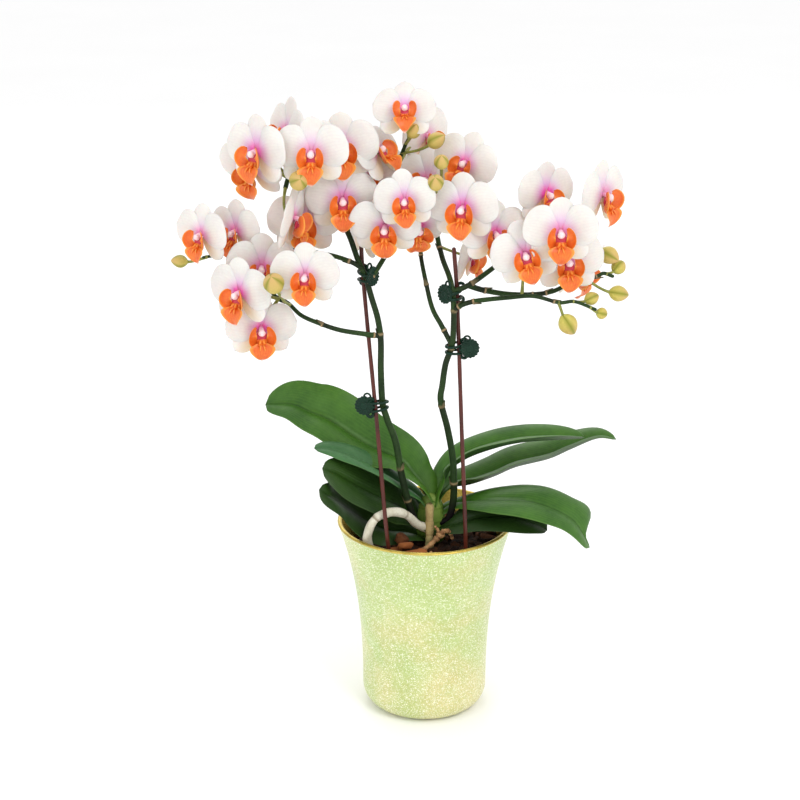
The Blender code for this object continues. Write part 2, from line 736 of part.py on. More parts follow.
def make_clip(name, spike, stake, height, side):
    """A collar round the stem and the stake with a small round disc at its side."""
    level = above_bark((0, 0, height)).z
    lines = spike_lines(spike)
    stem = path_at_height(lines["main"][0], level)
    post = path_at_height(stake_path(stake), level)
    across = Vector((post.x - stem.x, post.y - stem.y, 0.0))
    spread = across.length
    across.normalize()
    middle = stem + across * ((spread + STAKE_RADIUS - STEM_RADIUS) / 2)
    half_long = (spread + STEM_RADIUS + STAKE_RADIUS) / 2 + CLIP_WALL + TOUCH_GAP
    half_wide = STEM_RADIUS + CLIP_WALL + TOUCH_GAP
    half = CLIP_HEIGHT / 2
    collar = turned(name, [(0.0, half), (1.0, half), (1.0, -half), (0.0, -half)], 20)
    frame = Matrix((across, Vector((-across.y, across.x, 0.0)), Vector((0, 0, 1)))).transposed()
    size = Matrix.Diagonal((half_long, half_wide, 1.0, 1.0))
    collar.data.transform(Matrix.Translation(middle) @ frame.to_4x4() @ size)
    reach = half_long + CLIP_DISC_RADIUS * 0.6
    disc_place = middle + Vector((side * reach, -1 * MM, 0.0))
    flat = CLIP_DISC_THICKNESS / 2
    disc = turned("disc", [(0.0, flat), (CLIP_DISC_RADIUS, flat),
                           (CLIP_DISC_RADIUS, -flat), (0.0, -flat)], 16)
    disc.data.transform(Matrix.Translation(disc_place) @ Matrix.Rotation(math.radians(90), 4, "X"))
    combine(collar, [disc], "UNION")
    bores = [tube("bore", path, radius + TOUCH_GAP) for path, radius in lines.values()
             if nearest_on_path(path, middle)[1] < 12 * MM]
    bores.append(tube("bore", stake_path(stake), STAKE_RADIUS + TOUCH_GAP))
    combine(collar, bores, "DIFFERENCE")
    return collar


def dress(items, material, collection):
    """Gives each finished piece its material and its place in the plant's collection."""
    for item in items:
        item.data.materials.clear()
        item.data.materials.append(material)
        item.data.shade_smooth()
        item.data.set_sharp_from_angle(angle=math.radians(40))
        bpy.context.scene.collection.objects.unlink(item)
        collection.objects.link(item)


def build():
    collection = start_empty()
    dress([make_outer_pot()], finish("glitter_glaze", (0.68, 0.75, 0.42), 0.35), collection)
    dress([make_nursery_pot()], finish("nursery_plastic", (0.16, 0.12, 0.09), 0.5), collection)
    dress([make_bark(), make_bark_chip()], finish("bark", (0.17, 0.1, 0.045), 0.9), collection)
    dress([make_crown()], finish("crown_green", (0.16, 0.3, 0.06), 0.45), collection)
    roots = make_roots()
    dress(roots, finish("root", (0.6, 0.55, 0.4), 0.7), collection)
    leaves = [make_leaf(name, *shape) for name, shape in LEAVES.items()]
    dress(leaves, finish("leaf_green", (0.08, 0.18, 0.04), 0.4), collection)
    spikes = [make_spike(spike) for spike in SPIKE_PATHS]
    dress(spikes, finish("stem_green", (0.05, 0.09, 0.03), 0.5), collection)
    flowers = [make_flower(name, point, pose) for name, (point, *pose) in FLOWERS.items()]
    dress(flowers, finish("petal_white", (0.85, 0.82, 0.84), 0.55), collection)
    stakes = [make_stake(name) for name in STAKES]
    dress(stakes, finish("stake_brown", (0.06, 0.02, 0.015), 0.4), collection)
    clips = [make_clip(name, *fit) for name, fit in CLIPS.items()]
    dress(clips, finish("clip_green", (0.02, 0.07, 0.04), 0.45), collection)


build()
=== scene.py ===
import math

import bmesh
import bpy
import numpy as np
from mathutils import Euler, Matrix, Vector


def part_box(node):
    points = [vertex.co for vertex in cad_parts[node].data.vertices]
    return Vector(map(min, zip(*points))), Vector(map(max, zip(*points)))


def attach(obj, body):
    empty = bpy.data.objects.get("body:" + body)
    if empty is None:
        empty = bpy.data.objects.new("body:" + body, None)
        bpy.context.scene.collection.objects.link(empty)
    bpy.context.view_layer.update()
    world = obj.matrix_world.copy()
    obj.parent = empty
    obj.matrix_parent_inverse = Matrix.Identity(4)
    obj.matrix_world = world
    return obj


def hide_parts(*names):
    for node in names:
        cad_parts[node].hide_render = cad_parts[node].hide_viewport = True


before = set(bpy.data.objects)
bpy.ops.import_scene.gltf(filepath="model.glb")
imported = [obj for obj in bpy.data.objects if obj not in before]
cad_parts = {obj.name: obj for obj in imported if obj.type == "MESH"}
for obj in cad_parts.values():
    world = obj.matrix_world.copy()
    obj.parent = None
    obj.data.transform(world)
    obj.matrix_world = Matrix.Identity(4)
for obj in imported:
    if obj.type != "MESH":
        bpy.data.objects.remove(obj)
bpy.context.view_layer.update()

mm = 0.001
chance = np.random.default_rng(7)  # every random draw comes from here, in a fixed order


def curveThrough(points, count, perPoint=16):
    # Catmull-Rom: p(t) = half of 2b + (c-a)t + (2a-5b+4c-d)t^2 + (3b-a-3c+d)t^3, spaced evenly by length.
    given = np.asarray(points, float)
    padded = np.vstack([2 * given[0] - given[1], given, 2 * given[-1] - given[-2]])
    t = np.linspace(0, len(given) - 1, perPoint * len(given))
    at = np.minimum(t.astype(int), len(given) - 2)
    t = (t - at)[:, None]
    a, b, c, d = (padded[at + step] for step in range(4))
    square, cube = 2 * a - 5 * b + 4 * c - d, 3 * b - a - 3 * c + d
    dense = 0.5 * (2 * b + (c - a) * t + square * t**2 + cube * t**3)
    walked = np.append(0, np.cumsum(np.linalg.norm(np.diff(dense, axis=0), axis=1)))
    even = np.linspace(0, walked[-1], count)
    return np.stack([np.interp(even, walked, axis) for axis in dense.T], 1)


def unit(vectors):
    return vectors / np.maximum(np.linalg.norm(vectors, axis=-1, keepdims=True), 1e-12)


def framesAlong(path):
    # Directions along a path and two across it, the first one square to the axis that the path leans on least.
    along = unit(np.gradient(path, axis=0))
    axis = np.eye(3)[np.abs(along).max(0).argmin()]
    side = unit(np.cross(along, axis))
    return along, side, np.cross(side, along)


def surface(points, material=0, tone=(0, 0), uv=None):
    # One grid of points with its map along and across, and a two-value tone for its colours.
    rows, columns = points.shape[:2]
    if uv is None:
        uv = np.stack(np.meshgrid(np.linspace(0, 1, rows), np.linspace(0, 1, columns), indexing="ij"), -1)
    toneGrid = np.zeros((rows, columns, 2)) + np.stack(np.broadcast_arrays(*tone), -1)
    return {"points": points, "uv": uv, "tone": toneGrid, "material": material}


def tubeOf(path, radius, sides=12, material=0, tone=(0, 0), capRows=3):
    # Round tube: path + r(cos a, sin a) across it, with ends rounded by r cos b and r sin b.
    path = np.asarray(path, float)
    radius = np.broadcast_to(np.asarray(radius, float), len(path))
    along, side, up = framesAlong(path)
    b = np.linspace(0, np.pi / 2, capRows + 1)[1:]
    startAt = path[0] - along[0] * radius[0] * np.sin(b[::-1, None])
    endAt = path[-1] + along[-1] * radius[-1] * np.sin(b[:, None])
    middle = np.vstack([startAt, path, endAt])
    reach = np.concatenate([radius[0] * np.cos(b[::-1]), radius, radius[-1] * np.cos(b)])
    side, up = (np.pad(one, ((capRows, capRows), (0, 0)), "edge") for one in (side, up))
    a = np.linspace(0, 2 * np.pi, sides + 1)
    ring = side[:, None] * np.cos(a)[None, :, None] + up[:, None] * np.sin(a)[None, :, None]
    tones = [np.pad(np.broadcast_to(np.asarray(one, float), len(path)), capRows, "edge") for one in tone]
    tones = [one[:, None] * np.ones(sides + 1) for one in tones]
    return surface(middle[:, None] + ring * reach[:, None, None], material, tones)


def bladeOf(middle, side, normal, halfWidth, lift, thickness, columns=28, material=0, tone=None, sweep=0.0):
    # Closed thin blade: middle + side w cos a + normal (lift(u, cos a) + t/2 sin a), thinner where it is
    # narrow, its margins swept along by s cos^2 a. Side and normal are one direction, or one for each row.
    rows = len(middle)
    side, normal = (np.broadcast_to(one, middle.shape) for one in (side, normal))
    a = np.linspace(0, 2 * np.pi, columns + 1)
    across = np.cos(a)[None, :] * np.ones((rows, 1))
    u = np.linspace(0, 1, rows)[:, None] * np.ones((1, columns + 1))
    fade = np.minimum(1, halfWidth / max(halfWidth.max() * 0.3, 1e-9))[:, None]
    rise = lift(u, across) + thickness / 2 * fade * np.sin(a)[None, :]
    points = middle[:, None] + side[:, None] * (across * halfWidth[:, None])[..., None]
    points = points + normal[:, None] * rise[..., None]
    along = unit(np.gradient(middle, axis=0))
    points = points + along[:, None] * (sweep * across**2 * np.sin(np.pi * u) ** 0.7)[..., None]
    points[0], points[-1] = points[0].mean(0), points[-1].mean(0)
    made = surface(points, material, (0, 0), np.stack([u, (across + 1) / 2], -1))
    if tone is not None:
        made["tone"] = np.stack(np.broadcast_arrays(*tone(points, u, across)), -1)
    return made


def lathe(profile, sides=180, material=0, tone=(0, 0)):
    # Surface of revolution: (r cos a, r sin a, z) for each (r, z) of the profile.
    profile = np.asarray(profile, float)
    a = np.linspace(0, 2 * np.pi, sides + 1)
    points = np.stack([profile[:, :1] * np.cos(a), profile[:, :1] * np.sin(a), profile[:, 1:] + 0 * a], -1)
    return surface(points, material, tone)


def eggOf(centre, turn, length, width, seams=3, depth=0.05, material=0, tone=None, rows=18, sides=24):
    # Egg: radius w/2 sin(pi u^0.9)^0.72 (1 - depth |cos(seams a / 2)|^14), along its own axis.
    u = np.linspace(0, 1, rows)
    a = np.linspace(0, 2 * np.pi, sides + 1)
    seam = np.abs(np.cos(seams * a / 2))
    reach = (width / 2 * np.sin(np.pi * u**0.9) ** 0.72)[:, None] * (1 - depth * seam**14)
    local = np.stack([reach * np.cos(a), reach * np.sin(a), (u[:, None] - 0.5) * length + 0 * a], -1)
    if tone is None:
        tone = (u[:, None], seam**10)
    return surface(local @ np.asarray(turn, float).T + centre, material, tone)


def outwards(points):
    # True if a closed grid's faces, wound row by row, enclose a positive volume.
    local = points - points.mean((0, 1))
    p, q, r, s = local[:-1, :-1], local[:-1, 1:], local[1:, 1:], local[1:, :-1]
    return (np.cross(p, q) * r).sum() + (np.cross(p, r) * s).sum() > 0


def pieceFrom(name, surfaces, materials, merge=1e-6):
    # Joins grids into one mesh with its maps shapeMap and toneMap, seams and poles merged.
    points, faces, loops, tones, kinds, start = [], [], [], [], [], 0
    for one in surfaces:
        rows, columns = one["points"].shape[:2]
        index = np.arange(rows * columns).reshape(rows, columns)
        quads = np.stack([index[:-1, :-1], index[:-1, 1:], index[1:, 1:], index[1:, :-1]], -1).reshape(-1, 4)
        if one.get("flip", not outwards(one["points"])):
            quads = quads[:, ::-1]
        points.append(one["points"].reshape(-1, 3))
        loops.append(one["uv"].reshape(-1, 2)[quads.ravel()])
        tones.append(one["tone"].reshape(-1, 2)[quads.ravel()])
        faces.append(quads + start)
        kinds.append(np.full(len(quads), one["material"]))
        start += rows * columns
    faces = np.vstack(faces)
    mesh = bpy.data.meshes.new(name)
    mesh.from_pydata(np.vstack(points).tolist(), [], faces.tolist())
    for label, values in (("shapeMap", loops), ("toneMap", tones)):
        layer = mesh.uv_layers.new(name=label)
        layer.data.foreach_set("uv", np.vstack(values).astype(np.float32).ravel())
    mesh.polygons.foreach_set("material_index", np.concatenate(kinds).astype(np.int32))
    mesh.polygons.foreach_set("use_smooth", np.ones(len(faces), bool))
    cage = bmesh.new()
    cage.from_mesh(mesh)
    bmesh.ops.remove_doubles(cage, verts=cage.verts, dist=merge)
    cage.to_mesh(mesh)
    cage.free()
    for material in materials:
        mesh.materials.append(material)
    item = bpy.data.objects.new(name, mesh)
    bpy.context.scene.collection.objects.link(item)
    return item


def settle(item, slot, *nodes):
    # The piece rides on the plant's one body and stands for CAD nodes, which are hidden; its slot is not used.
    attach(item, "root")
    if nodes:
        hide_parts(*nodes)
    return item


def paint(red, green, blue):
    # A screen colour, 0 to 255, as linear light: ((c + 0.055) / 1.055)^2.4.
    screen = np.array([red, green, blue]) / 255
    linear = np.where(screen <= 0.04045, screen / 12.92, ((screen + 0.055) / 1.055) ** 2.4)
    return (*linear.tolist(), 1.0)


def addNode(tree, kind, inputs=None, **settings):
    node = tree.nodes.new(kind)
    for label, value in settings.items():
        setattr(node, label, value)
    for label, value in (inputs or {}).items():
        if isinstance(value, bpy.types.NodeSocket):
            tree.links.new(value, node.inputs[label])
        else:
            node.inputs[label].default_value = value
    return node


def mixColour(tree, factor, first, second):
    # Each colour is a socket or a red, green and blue of 0 to 255.
    first, second = (paint(*one) if isinstance(one, tuple) else one for one in (first, second))
    return addNode(tree, "ShaderNodeMix", {0: factor, 6: first, 7: second}, data_type="RGBA").outputs[2]


def maths(tree, way, first, second=0.0, clamp=False):
    return addNode(tree, "ShaderNodeMath", {0: first, 1: second}, operation=way, use_clamp=clamp).outputs[0]


def times(tree, value, share):
    return maths(tree, "MULTIPLY", value, share)


def stain(tree, ground, colour, mask, share=1.0):
    # A colour laid over the ground by a mask and a share of it.
    return mixColour(tree, times(tree, mask, share), ground, colour)


def spread(tree, value, low, high, newLow=0.0, newHigh=1.0):
    # A value between low and high, moved to between newLow and newHigh and held there.
    inputs = {"Value": value, "From Min": low, "From Max": high, "To Min": newLow, "To Max": newHigh}
    return addNode(tree, "ShaderNodeMapRange", inputs, clamp=True).outputs[0]


def noiseOf(tree, vector, scale, detail=3.0, roughness=0.55):
    inputs = {"Vector": vector, "Scale": scale, "Detail": detail, "Roughness": roughness}
    return addNode(tree, "ShaderNodeTexNoise", inputs).outputs[0]


def offMiddle(tree, across):
    # Distance from the middle line of a blade, 0 to 0.5.
    return maths(tree, "ABSOLUTE", maths(tree, "SUBTRACT", across, 0.5))


def mapOf(tree, name):
    # The two values of one of the piece's own maps.
    node = addNode(tree, "ShaderNodeUVMap", uv_map=name)
    parts = addNode(tree, "ShaderNodeSeparateXYZ", {0: node.outputs[0]})
    return parts.outputs[0], parts.outputs[1]


def newMaterial(name, **sockets):
    # A material with some of its shader's values set, and the object's own coordinates to place patterns by.
    material = bpy.data.materials.new(name)
    material.use_nodes = True
    tree = material.node_tree
    shader = tree.nodes["Principled BSDF"]
    for label, value in sockets.items():
        shader.inputs[label.replace("_", " ")].default_value = value
    return material, tree, shader, addNode(tree, "ShaderNodeTexCoord").outputs["Object"]


def finish(tree, shader, colour, roughness=None, height=None, strength=0.2, distance=0.0002):
    # Feeds the shader its colour, its roughness and a bump of a strength and a depth in metres.
    tree.links.new(colour, shader.inputs["Base Color"])
    if roughness is not None:
        tree.links.new(roughness, shader.inputs["Roughness"])
    if height is not None:
        bump = addNode(tree, "ShaderNodeBump", {"Strength": strength, "Distance": distance, "Height": height})
        tree.links.new(bump.outputs[0], shader.inputs["Normal"])


def newGroup(name, inputs, outputs):
    # An empty shader node group with named number or vector inputs and number outputs.
    group = bpy.data.node_groups.new(name, "ShaderNodeTree")
    for label, value in inputs.items():
        kind = "NodeSocketVector" if value is None else "NodeSocketFloat"
        socket = group.interface.new_socket(name=label, in_out="INPUT", socket_type=kind)
        if value is not None:
            socket.default_value = value
    for label in outputs:
        group.interface.new_socket(name=label, in_out="OUTPUT", socket_type="NodeSocketFloat")
    return group, group.nodes.new("NodeGroupInput").outputs, group.nodes.new("NodeGroupOutput").inputs


# Veins: thin lines at even shares of the width, each one wandering a little along its length
veinGroup, veinIn, veinOut = newGroup(
    "bladeVeins", {"Place": None, "Across": 0.0, "Count": 9.0, "Wander": 0.4, "Width": 0.12}, ["Line"])
wander = times(veinGroup, noiseOf(veinGroup, veinIn["Place"], 90.0, 2.0), veinIn["Wander"])
lane = maths(veinGroup, "ADD", times(veinGroup, veinIn["Across"], veinIn["Count"]), wander)
nearLine = maths(veinGroup, "DIVIDE", maths(veinGroup, "PINGPONG", lane, 0.5), veinIn["Width"])
veinGroup.links.new(spread(veinGroup, nearLine, 0.0, 1.0, 1.0, 0.0), veinOut["Line"])

# Mottle: broad and fine patches together, 0 to 1
mottleGroup, mottleIn, mottleOut = newGroup(
    "mottle", {"Place": None, "Broad": 40.0, "Fine": 400.0, "Share": 0.4}, ["Patch"])
broadPatch = noiseOf(mottleGroup, mottleIn["Place"], mottleIn["Broad"], 3.0, 0.5)
finePatch = noiseOf(mottleGroup, mottleIn["Place"], mottleIn["Fine"], 4.0, 0.5)
bothPatches = addNode(mottleGroup, "ShaderNodeMix", {0: mottleIn["Share"], 2: broadPatch, 3: finePatch},
                      data_type="FLOAT").outputs[0]
mottleGroup.links.new(spread(mottleGroup, bothPatches, 0.32, 0.68), mottleOut["Patch"])


def mottled(tree, place, broad, fine, share=0.4):
    inputs = {"Place": place, "Broad": broad, "Fine": fine, "Share": share}
    return addNode(tree, "ShaderNodeGroup", inputs, node_tree=mottleGroup).outputs["Patch"]


def veinsOn(tree, place, across, count, width, wander):
    inputs = {"Place": place, "Across": across, "Count": count, "Width": width, "Wander": wander}
    return addNode(tree, "ShaderNodeGroup", inputs, node_tree=veinGroup).outputs["Line"]


def glazeMaterial():
    # Glitter glaze: fine grains over broad soft patches of lime and gold. The random gold patches are the
    # glaze's own; the gold that grows towards the bottom and the right side is painted light.
    material, tree, shader, place = newMaterial("glitterGlaze", Coat_Weight=0.25, Coat_Roughness=0.2)
    side, _, height = addNode(tree, "ShaderNodeSeparateXYZ", {0: place}).outputs
    patches = mottled(tree, place, 22.0, 140.0, 0.35)
    lime = mixColour(tree, patches, (174, 197, 118), (202, 218, 146))
    gold = mixColour(tree, patches, (206, 190, 116), (231, 220, 164))
    # Painted light: the glaze turns paler gold towards the bottom and the right side, the lit side of the pot
    slant = maths(tree, "SUBTRACT", height, times(tree, side, 0.5))
    paintedLightAndGoldPatches = maths(tree, "ADD", spread(tree, slant, -0.01, 0.12, 0.85, 0.05),
                      spread(tree, noiseOf(tree, place, 26.0), 0.4, 0.66, -0.35, 0.4), clamp=True)
    ground = mixColour(tree, paintedLightAndGoldPatches, lime, gold)
    grain = addNode(tree, "ShaderNodeTexVoronoi", {"Vector": place, "Scale": 1900.0})
    kind = addNode(tree, "ShaderNodeSeparateColor", {0: grain.outputs["Color"]}).outputs
    toned = stain(tree, ground, (168, 186, 108), kind[0], 0.5)
    speckled = stain(tree, toned, (254, 253, 236), spread(tree, kind[1], 0.76, 0.96, 0.0, 0.9))
    relief = maths(tree, "ADD", kind[1], times(tree, noiseOf(tree, place, 2400.0), 0.5))
    finish(tree, shader, speckled, spread(tree, kind[2], 0.2, 1.0, 0.5, 0.22), relief, 0.45, 0.00025)
    return material


def goldMaterial():
    # Brushed-on gold: worn patches and fine streaks.
    material, tree, shader, place = newMaterial("rimGold", Metallic=0.85)
    worn = mottled(tree, place, 60.0, 700.0)
    colour = mixColour(tree, worn, (148, 128, 44), (224, 200, 104))
    finish(tree, shader, colour, spread(tree, worn, 0.0, 1.0, 0.42, 0.2), noiseOf(tree, place, 900.0), 0.15)
    return material


def leafMaterial(name, light, deep, under):
    # Waxy leaf: dark midrib, fine lengthwise veins, soft blotches, pale margin and base, dull underside, and
    # painted shade from its tone.
    material, tree, shader, place = newMaterial(name, Specular_IOR_Level=0.28)
    along, across = mapOf(tree, "shapeMap")
    upperSide, shade = mapOf(tree, "toneMap")
    blotch = mottled(tree, place, 30.0, 260.0, 0.3)
    veins = veinsOn(tree, place, across, 23.0, 0.3, 0.5)
    fromRib = offMiddle(tree, across)
    body = mixColour(tree, blotch, deep, light)
    body = stain(tree, body, (78, 123, 46), veins, 0.3)
    body = stain(tree, body, (30, 58, 18), spread(tree, fromRib, 0.0, 0.022, 1.0, 0.0), 0.4)
    body = stain(tree, body, (80, 116, 30), spread(tree, along, 0.02, 0.2, 0.5, 0.0))
    body = stain(tree, body, (104, 140, 66), spread(tree, fromRib, 0.47, 0.5), 0.35)
    body = mixColour(tree, upperSide, stain(tree, under, (76, 112, 56), veins, 0.5), body)
    # Painted shade: each leaf's shade value darkens the whole leaf where it lies in shadow under other leaves
    body = stain(tree, body, (18, 30, 12), shade)
    relief = maths(tree, "ADD", times(tree, veins, 0.6), noiseOf(tree, place, 500.0))
    finish(tree, shader, body, spread(tree, blotch, 0.0, 1.0, 0.5, 0.36), relief, 0.22, 0.0003)
    return material


def petalMaterial():
    # White petal: violet-pink flush and olive base from its tone, faint veins and a soft crystalline grain.
    material, tree, shader, place = newMaterial("petalWhite", Roughness=0.5, Subsurface_Weight=0.12,
                                                Sheen_Weight=0.15, Subsurface_Scale=0.004)
    along, across = mapOf(tree, "shapeMap")
    flush, olive = mapOf(tree, "toneMap")
    veins = veinsOn(tree, place, across, 13.0, 0.22, 0.5)
    patch = mottled(tree, place, 60.0, 500.0, 0.3)
    body = mixColour(tree, patch, (216, 211, 207), (230, 227, 221))
    body = stain(tree, body, (204, 186, 194), veins, 0.14)
    streak = maths(tree, "ADD", spread(tree, veins, 0.0, 1.0, 0.95, 1.15),
                   spread(tree, patch, 0.0, 1.0, -0.15, 0.15))
    pink, yellow = (maths(tree, "MULTIPLY", tone, streak, clamp=True) for tone in (flush, olive))
    violet = mixColour(tree, spread(tree, along, 0.02, 0.3), (232, 64, 158), (208, 104, 216))
    body = mixColour(tree, pink, body, violet)
    body = mixColour(tree, yellow, body, mixColour(tree, patch, (190, 156, 66), (222, 196, 112)))
    relief = maths(tree, "ADD", times(tree, veins, 0.7), noiseOf(tree, place, 1500.0))
    finish(tree, shader, body, None, relief, 0.16)
    return material


def lipMaterial():
    # Orange lip: golden rim, deep red veins, and a pale pink tip or crimson throat from its tone.
    material, tree, shader, place = newMaterial("lipOrange", Roughness=0.4, Subsurface_Weight=0.08,
                                                Subsurface_Scale=0.003)
    across = mapOf(tree, "shapeMap")[1]
    pale, crimson = mapOf(tree, "toneMap")
    veins = veinsOn(tree, place, across, 9.0, 0.25, 0.7)
    patch = mottled(tree, place, 120.0, 700.0, 0.35)
    body = mixColour(tree, patch, (218, 88, 22), (238, 124, 38))
    body = stain(tree, body, (202, 66, 16), veins, 0.35)
    body = stain(tree, body, (246, 168, 62), spread(tree, offMiddle(tree, across), 0.34, 0.49), 0.8)
    body = stain(tree, body, (250, 226, 216), pale)
    body = stain(tree, body, (190, 34, 74), crimson)
    finish(tree, shader, body, None, maths(tree, "ADD", veins, patch))
    return material


def softMaterial(name, first, second, broad, fine, roughness, grain=0.25, depth=0.0003, tones=(), **sockets):
    # A mottled natural surface. Each of the two tones, if given, blends in a colour of its own.
    material, tree, shader, place = newMaterial(name, Specular_IOR_Level=0.2, **sockets)
    patch = mottled(tree, place, broad, fine)
    body = mixColour(tree, patch, first, second)
    for mask, colour in zip(mapOf(tree, "toneMap") if tones else (), tones):
        body = stain(tree, body, colour, mask)
    dull = spread(tree, patch, 0.0, 1.0, roughness + 0.08, roughness - 0.08)
    finish(tree, shader, body, dull, maths(tree, "ADD", patch, noiseOf(tree, place, fine * 2)), grain, depth)
    return material


glaze, rimGold = glazeMaterial(), goldMaterial()
leafGreen = leafMaterial("leafGreen", (72, 117, 36), (41, 82, 21), (40, 70, 26))
leafBlue = leafMaterial("leafBlue", (74, 124, 74), (46, 92, 52), (52, 92, 54))
petalWhite, lipOrange = petalMaterial(), lipMaterial()
columnPale = softMaterial("columnPale", (244, 208, 218), (252, 236, 232), 300.0, 1200.0, 0.35, 0.1,
                          tones=((214, 96, 160),), Subsurface_Weight=0.1, Subsurface_Scale=0.003)
stalkGreen = softMaterial("stalkGreen", (106, 112, 50), (158, 160, 84), 120.0, 900.0, 0.45)
# The stem's second tone is painted shade below the node rings and at the main stem's base; the bracts carry a
# little of it
stemGreen = softMaterial("stemGreen", (22, 42, 16), (44, 70, 28), 70.0, 600.0, 0.5,
                         tones=((186, 156, 118), (16, 10, 14)))
budGreen = softMaterial("budGreen", (180, 174, 68), (212, 205, 104), 90.0, 800.0, 0.42,
                        tones=((204, 168, 108), (138, 140, 50)))
# The crown's first tone is a painted highlight on its front; the second makes it darker towards the bottom
crownGreen = softMaterial("crownGreen", (58, 92, 26), (96, 130, 44), 90.0, 700.0, 0.38,
                          tones=((150, 172, 82), (36, 46, 18)))
rootPale = softMaterial("rootPale", (196, 190, 166), (232, 228, 212), 130.0, 1100.0, 0.75, 0.5, 0.0005,
                        tones=((140, 120, 92), (112, 104, 84)))
rootTan = softMaterial("rootTan", (158, 134, 88), (196, 176, 122), 110.0, 1000.0, 0.65, 0.5, 0.0005,
                       tones=((118, 130, 84), (92, 70, 46)))
rootDry = softMaterial("rootDry", (150, 104, 66), (212, 170, 120), 160.0, 1200.0, 0.75, 0.6, 0.0006,
                       tones=((96, 58, 36),))
# The second tone darkens chips at random, and is painted shade on the large chips right of the crown
barkChip = softMaterial("barkChip", (46, 28, 18), (96, 60, 36), 150.0, 1300.0, 0.85, 0.9, 0.0009,
                        tones=((190, 116, 66), (20, 13, 10)))
stakeBrown = softMaterial("stakeBrown", (60, 22, 18), (96, 42, 32), 60.0, 1500.0, 0.32, 0.2,
                          Coat_Weight=0.3, Coat_Roughness=0.25)
clipGreen = softMaterial("clipGreen", (8, 34, 24), (18, 54, 38), 120.0, 1500.0, 0.45, 0.12)
nurseryBrown = softMaterial("nurseryBrown", (38, 28, 22), (58, 44, 34), 60.0, 900.0, 0.4, 0.15)
print("materials made")


pot = {"height": 143, "rim": 63, "heel": 45.2, "foot": 33, "heelHeight": 14, "wall": 3.5, "floor": 4,
       "flare": 2.4, "band": 1.6, "footRing": 4, "recess": 1.2, "chamfer": 1, "fillet": 3, "barkDrop": 18,
       "barkEdgeDrop": 4}
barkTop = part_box("ceramic_pot")[1].z - pot["barkDrop"] * mm


def potRadius(height):
    # Quarter-ellipse heel, then heel + (rim - heel) share^flare above it, in mm.
    heel, heelHeight = pot["heel"], pot["heelHeight"]
    low = pot["foot"] + (heel - pot["foot"]) * np.sqrt(np.clip(1 - (1 - height / heelHeight) ** 2, 0, 1))
    share = np.clip((height - heelHeight) / (pot["height"] - heelHeight), 0, 1)
    return np.where(height < heelHeight, low, heel + (pot["rim"] - heel) * share ** pot["flare"])


def makePot():
    # Lathed wall: foot ring, heel and flare outside, a half-ellipse rim, and the flare less the wall inside.
    ring, recess, chamfer = pot["foot"] - pot["footRing"], pot["recess"], pot["chamfer"]
    half, floor, top = pot["wall"] / 2, pot["floor"], pot["height"] - pot["band"]
    a = np.linspace(0, np.pi / 2, 14)
    up = np.append(pot["heelHeight"] * (1 - np.cos(a)), np.linspace(pot["heelHeight"], top, 70)[1:])
    outer = np.stack([potRadius(up), up], 1)[1:]
    outer = np.vstack([[0, recess], [ring - chamfer, recess], [ring, 0.15], [pot["foot"] - chamfer, 0], outer])
    b = np.linspace(0, np.pi, 11)[1:]
    rim = np.stack([pot["rim"] - half + half * np.cos(b), top + pot["band"] * np.sin(b)], 1)
    down = np.linspace(top, floor + pot["fillet"], 60)[1:]
    inner = np.stack([potRadius(down) - pot["wall"], down], 1)
    inner = np.vstack([inner, [inner[-1, 0] - pot["fillet"], floor], [0, floor]])
    glazed = lathe(outer * mm)
    gilded = lathe(np.vstack([outer[-1:], rim, inner]) * mm, material=1)
    glazed["flip"] = gilded["flip"] = not outwards(lathe(np.vstack([outer, rim, inner]) * mm)["points"])
    return settle(pieceFrom("glazed_pot", [glazed, gilded], [glaze, rimGold]), "glaze", "ceramic_pot")


makePot()
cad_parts["nursery_pot"].data.materials.clear()
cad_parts["nursery_pot"].data.materials.append(nurseryBrown)
print("pot made")


bark = {
    "chips": 330, "length": (8, 17), "width": (4.5, 9), "height": (2.5, 5.5), "reach": 48, "bump": 0.8,
    "gap": 0.7, "edge": 8, "sink": 1.4, "underside": 9, "squareness": 0.45, "unevenness": 0.22,
    "feature": [  # place, size, turn, lean, tones of the large chips beside the crown
        ((-24, -28, 3.5), (15, 7, 5), 0.5, (0.1, 0.0), (0.9, 0.0)),
        ((-17, -23, 11.5), (11, 8, 6), 1.2, (0.5, 0.2), (0.45, 0.4)),
        ((-8, -35, 5.2), (17, 8, 5), 0.25, (0.15, -0.1), (1.0, 0.0)),
        ((-14, -30, 9.5), (13, 6, 4.5), 0.9, (-0.3, 0.3), (0.85, 0.0)),
        # Painted shade: the two chips right of the crown get a high dark tone, as they lie in the leaves'
        # shadow
        ((14, -34, 2.2), (13, 8, 5), -0.4, (0.1, 0.1), (0.1, 0.6)),
        ((24, -26, 2.4), (14, 8, 5), 0.8, (0.0, 0.2), (0.2, 0.7)),
    ],
}


def above(point):
    # A place given in mm from the pot's axis and above the bark, in metres.
    return np.asarray(point, float) * mm + [0, 0, barkTop]


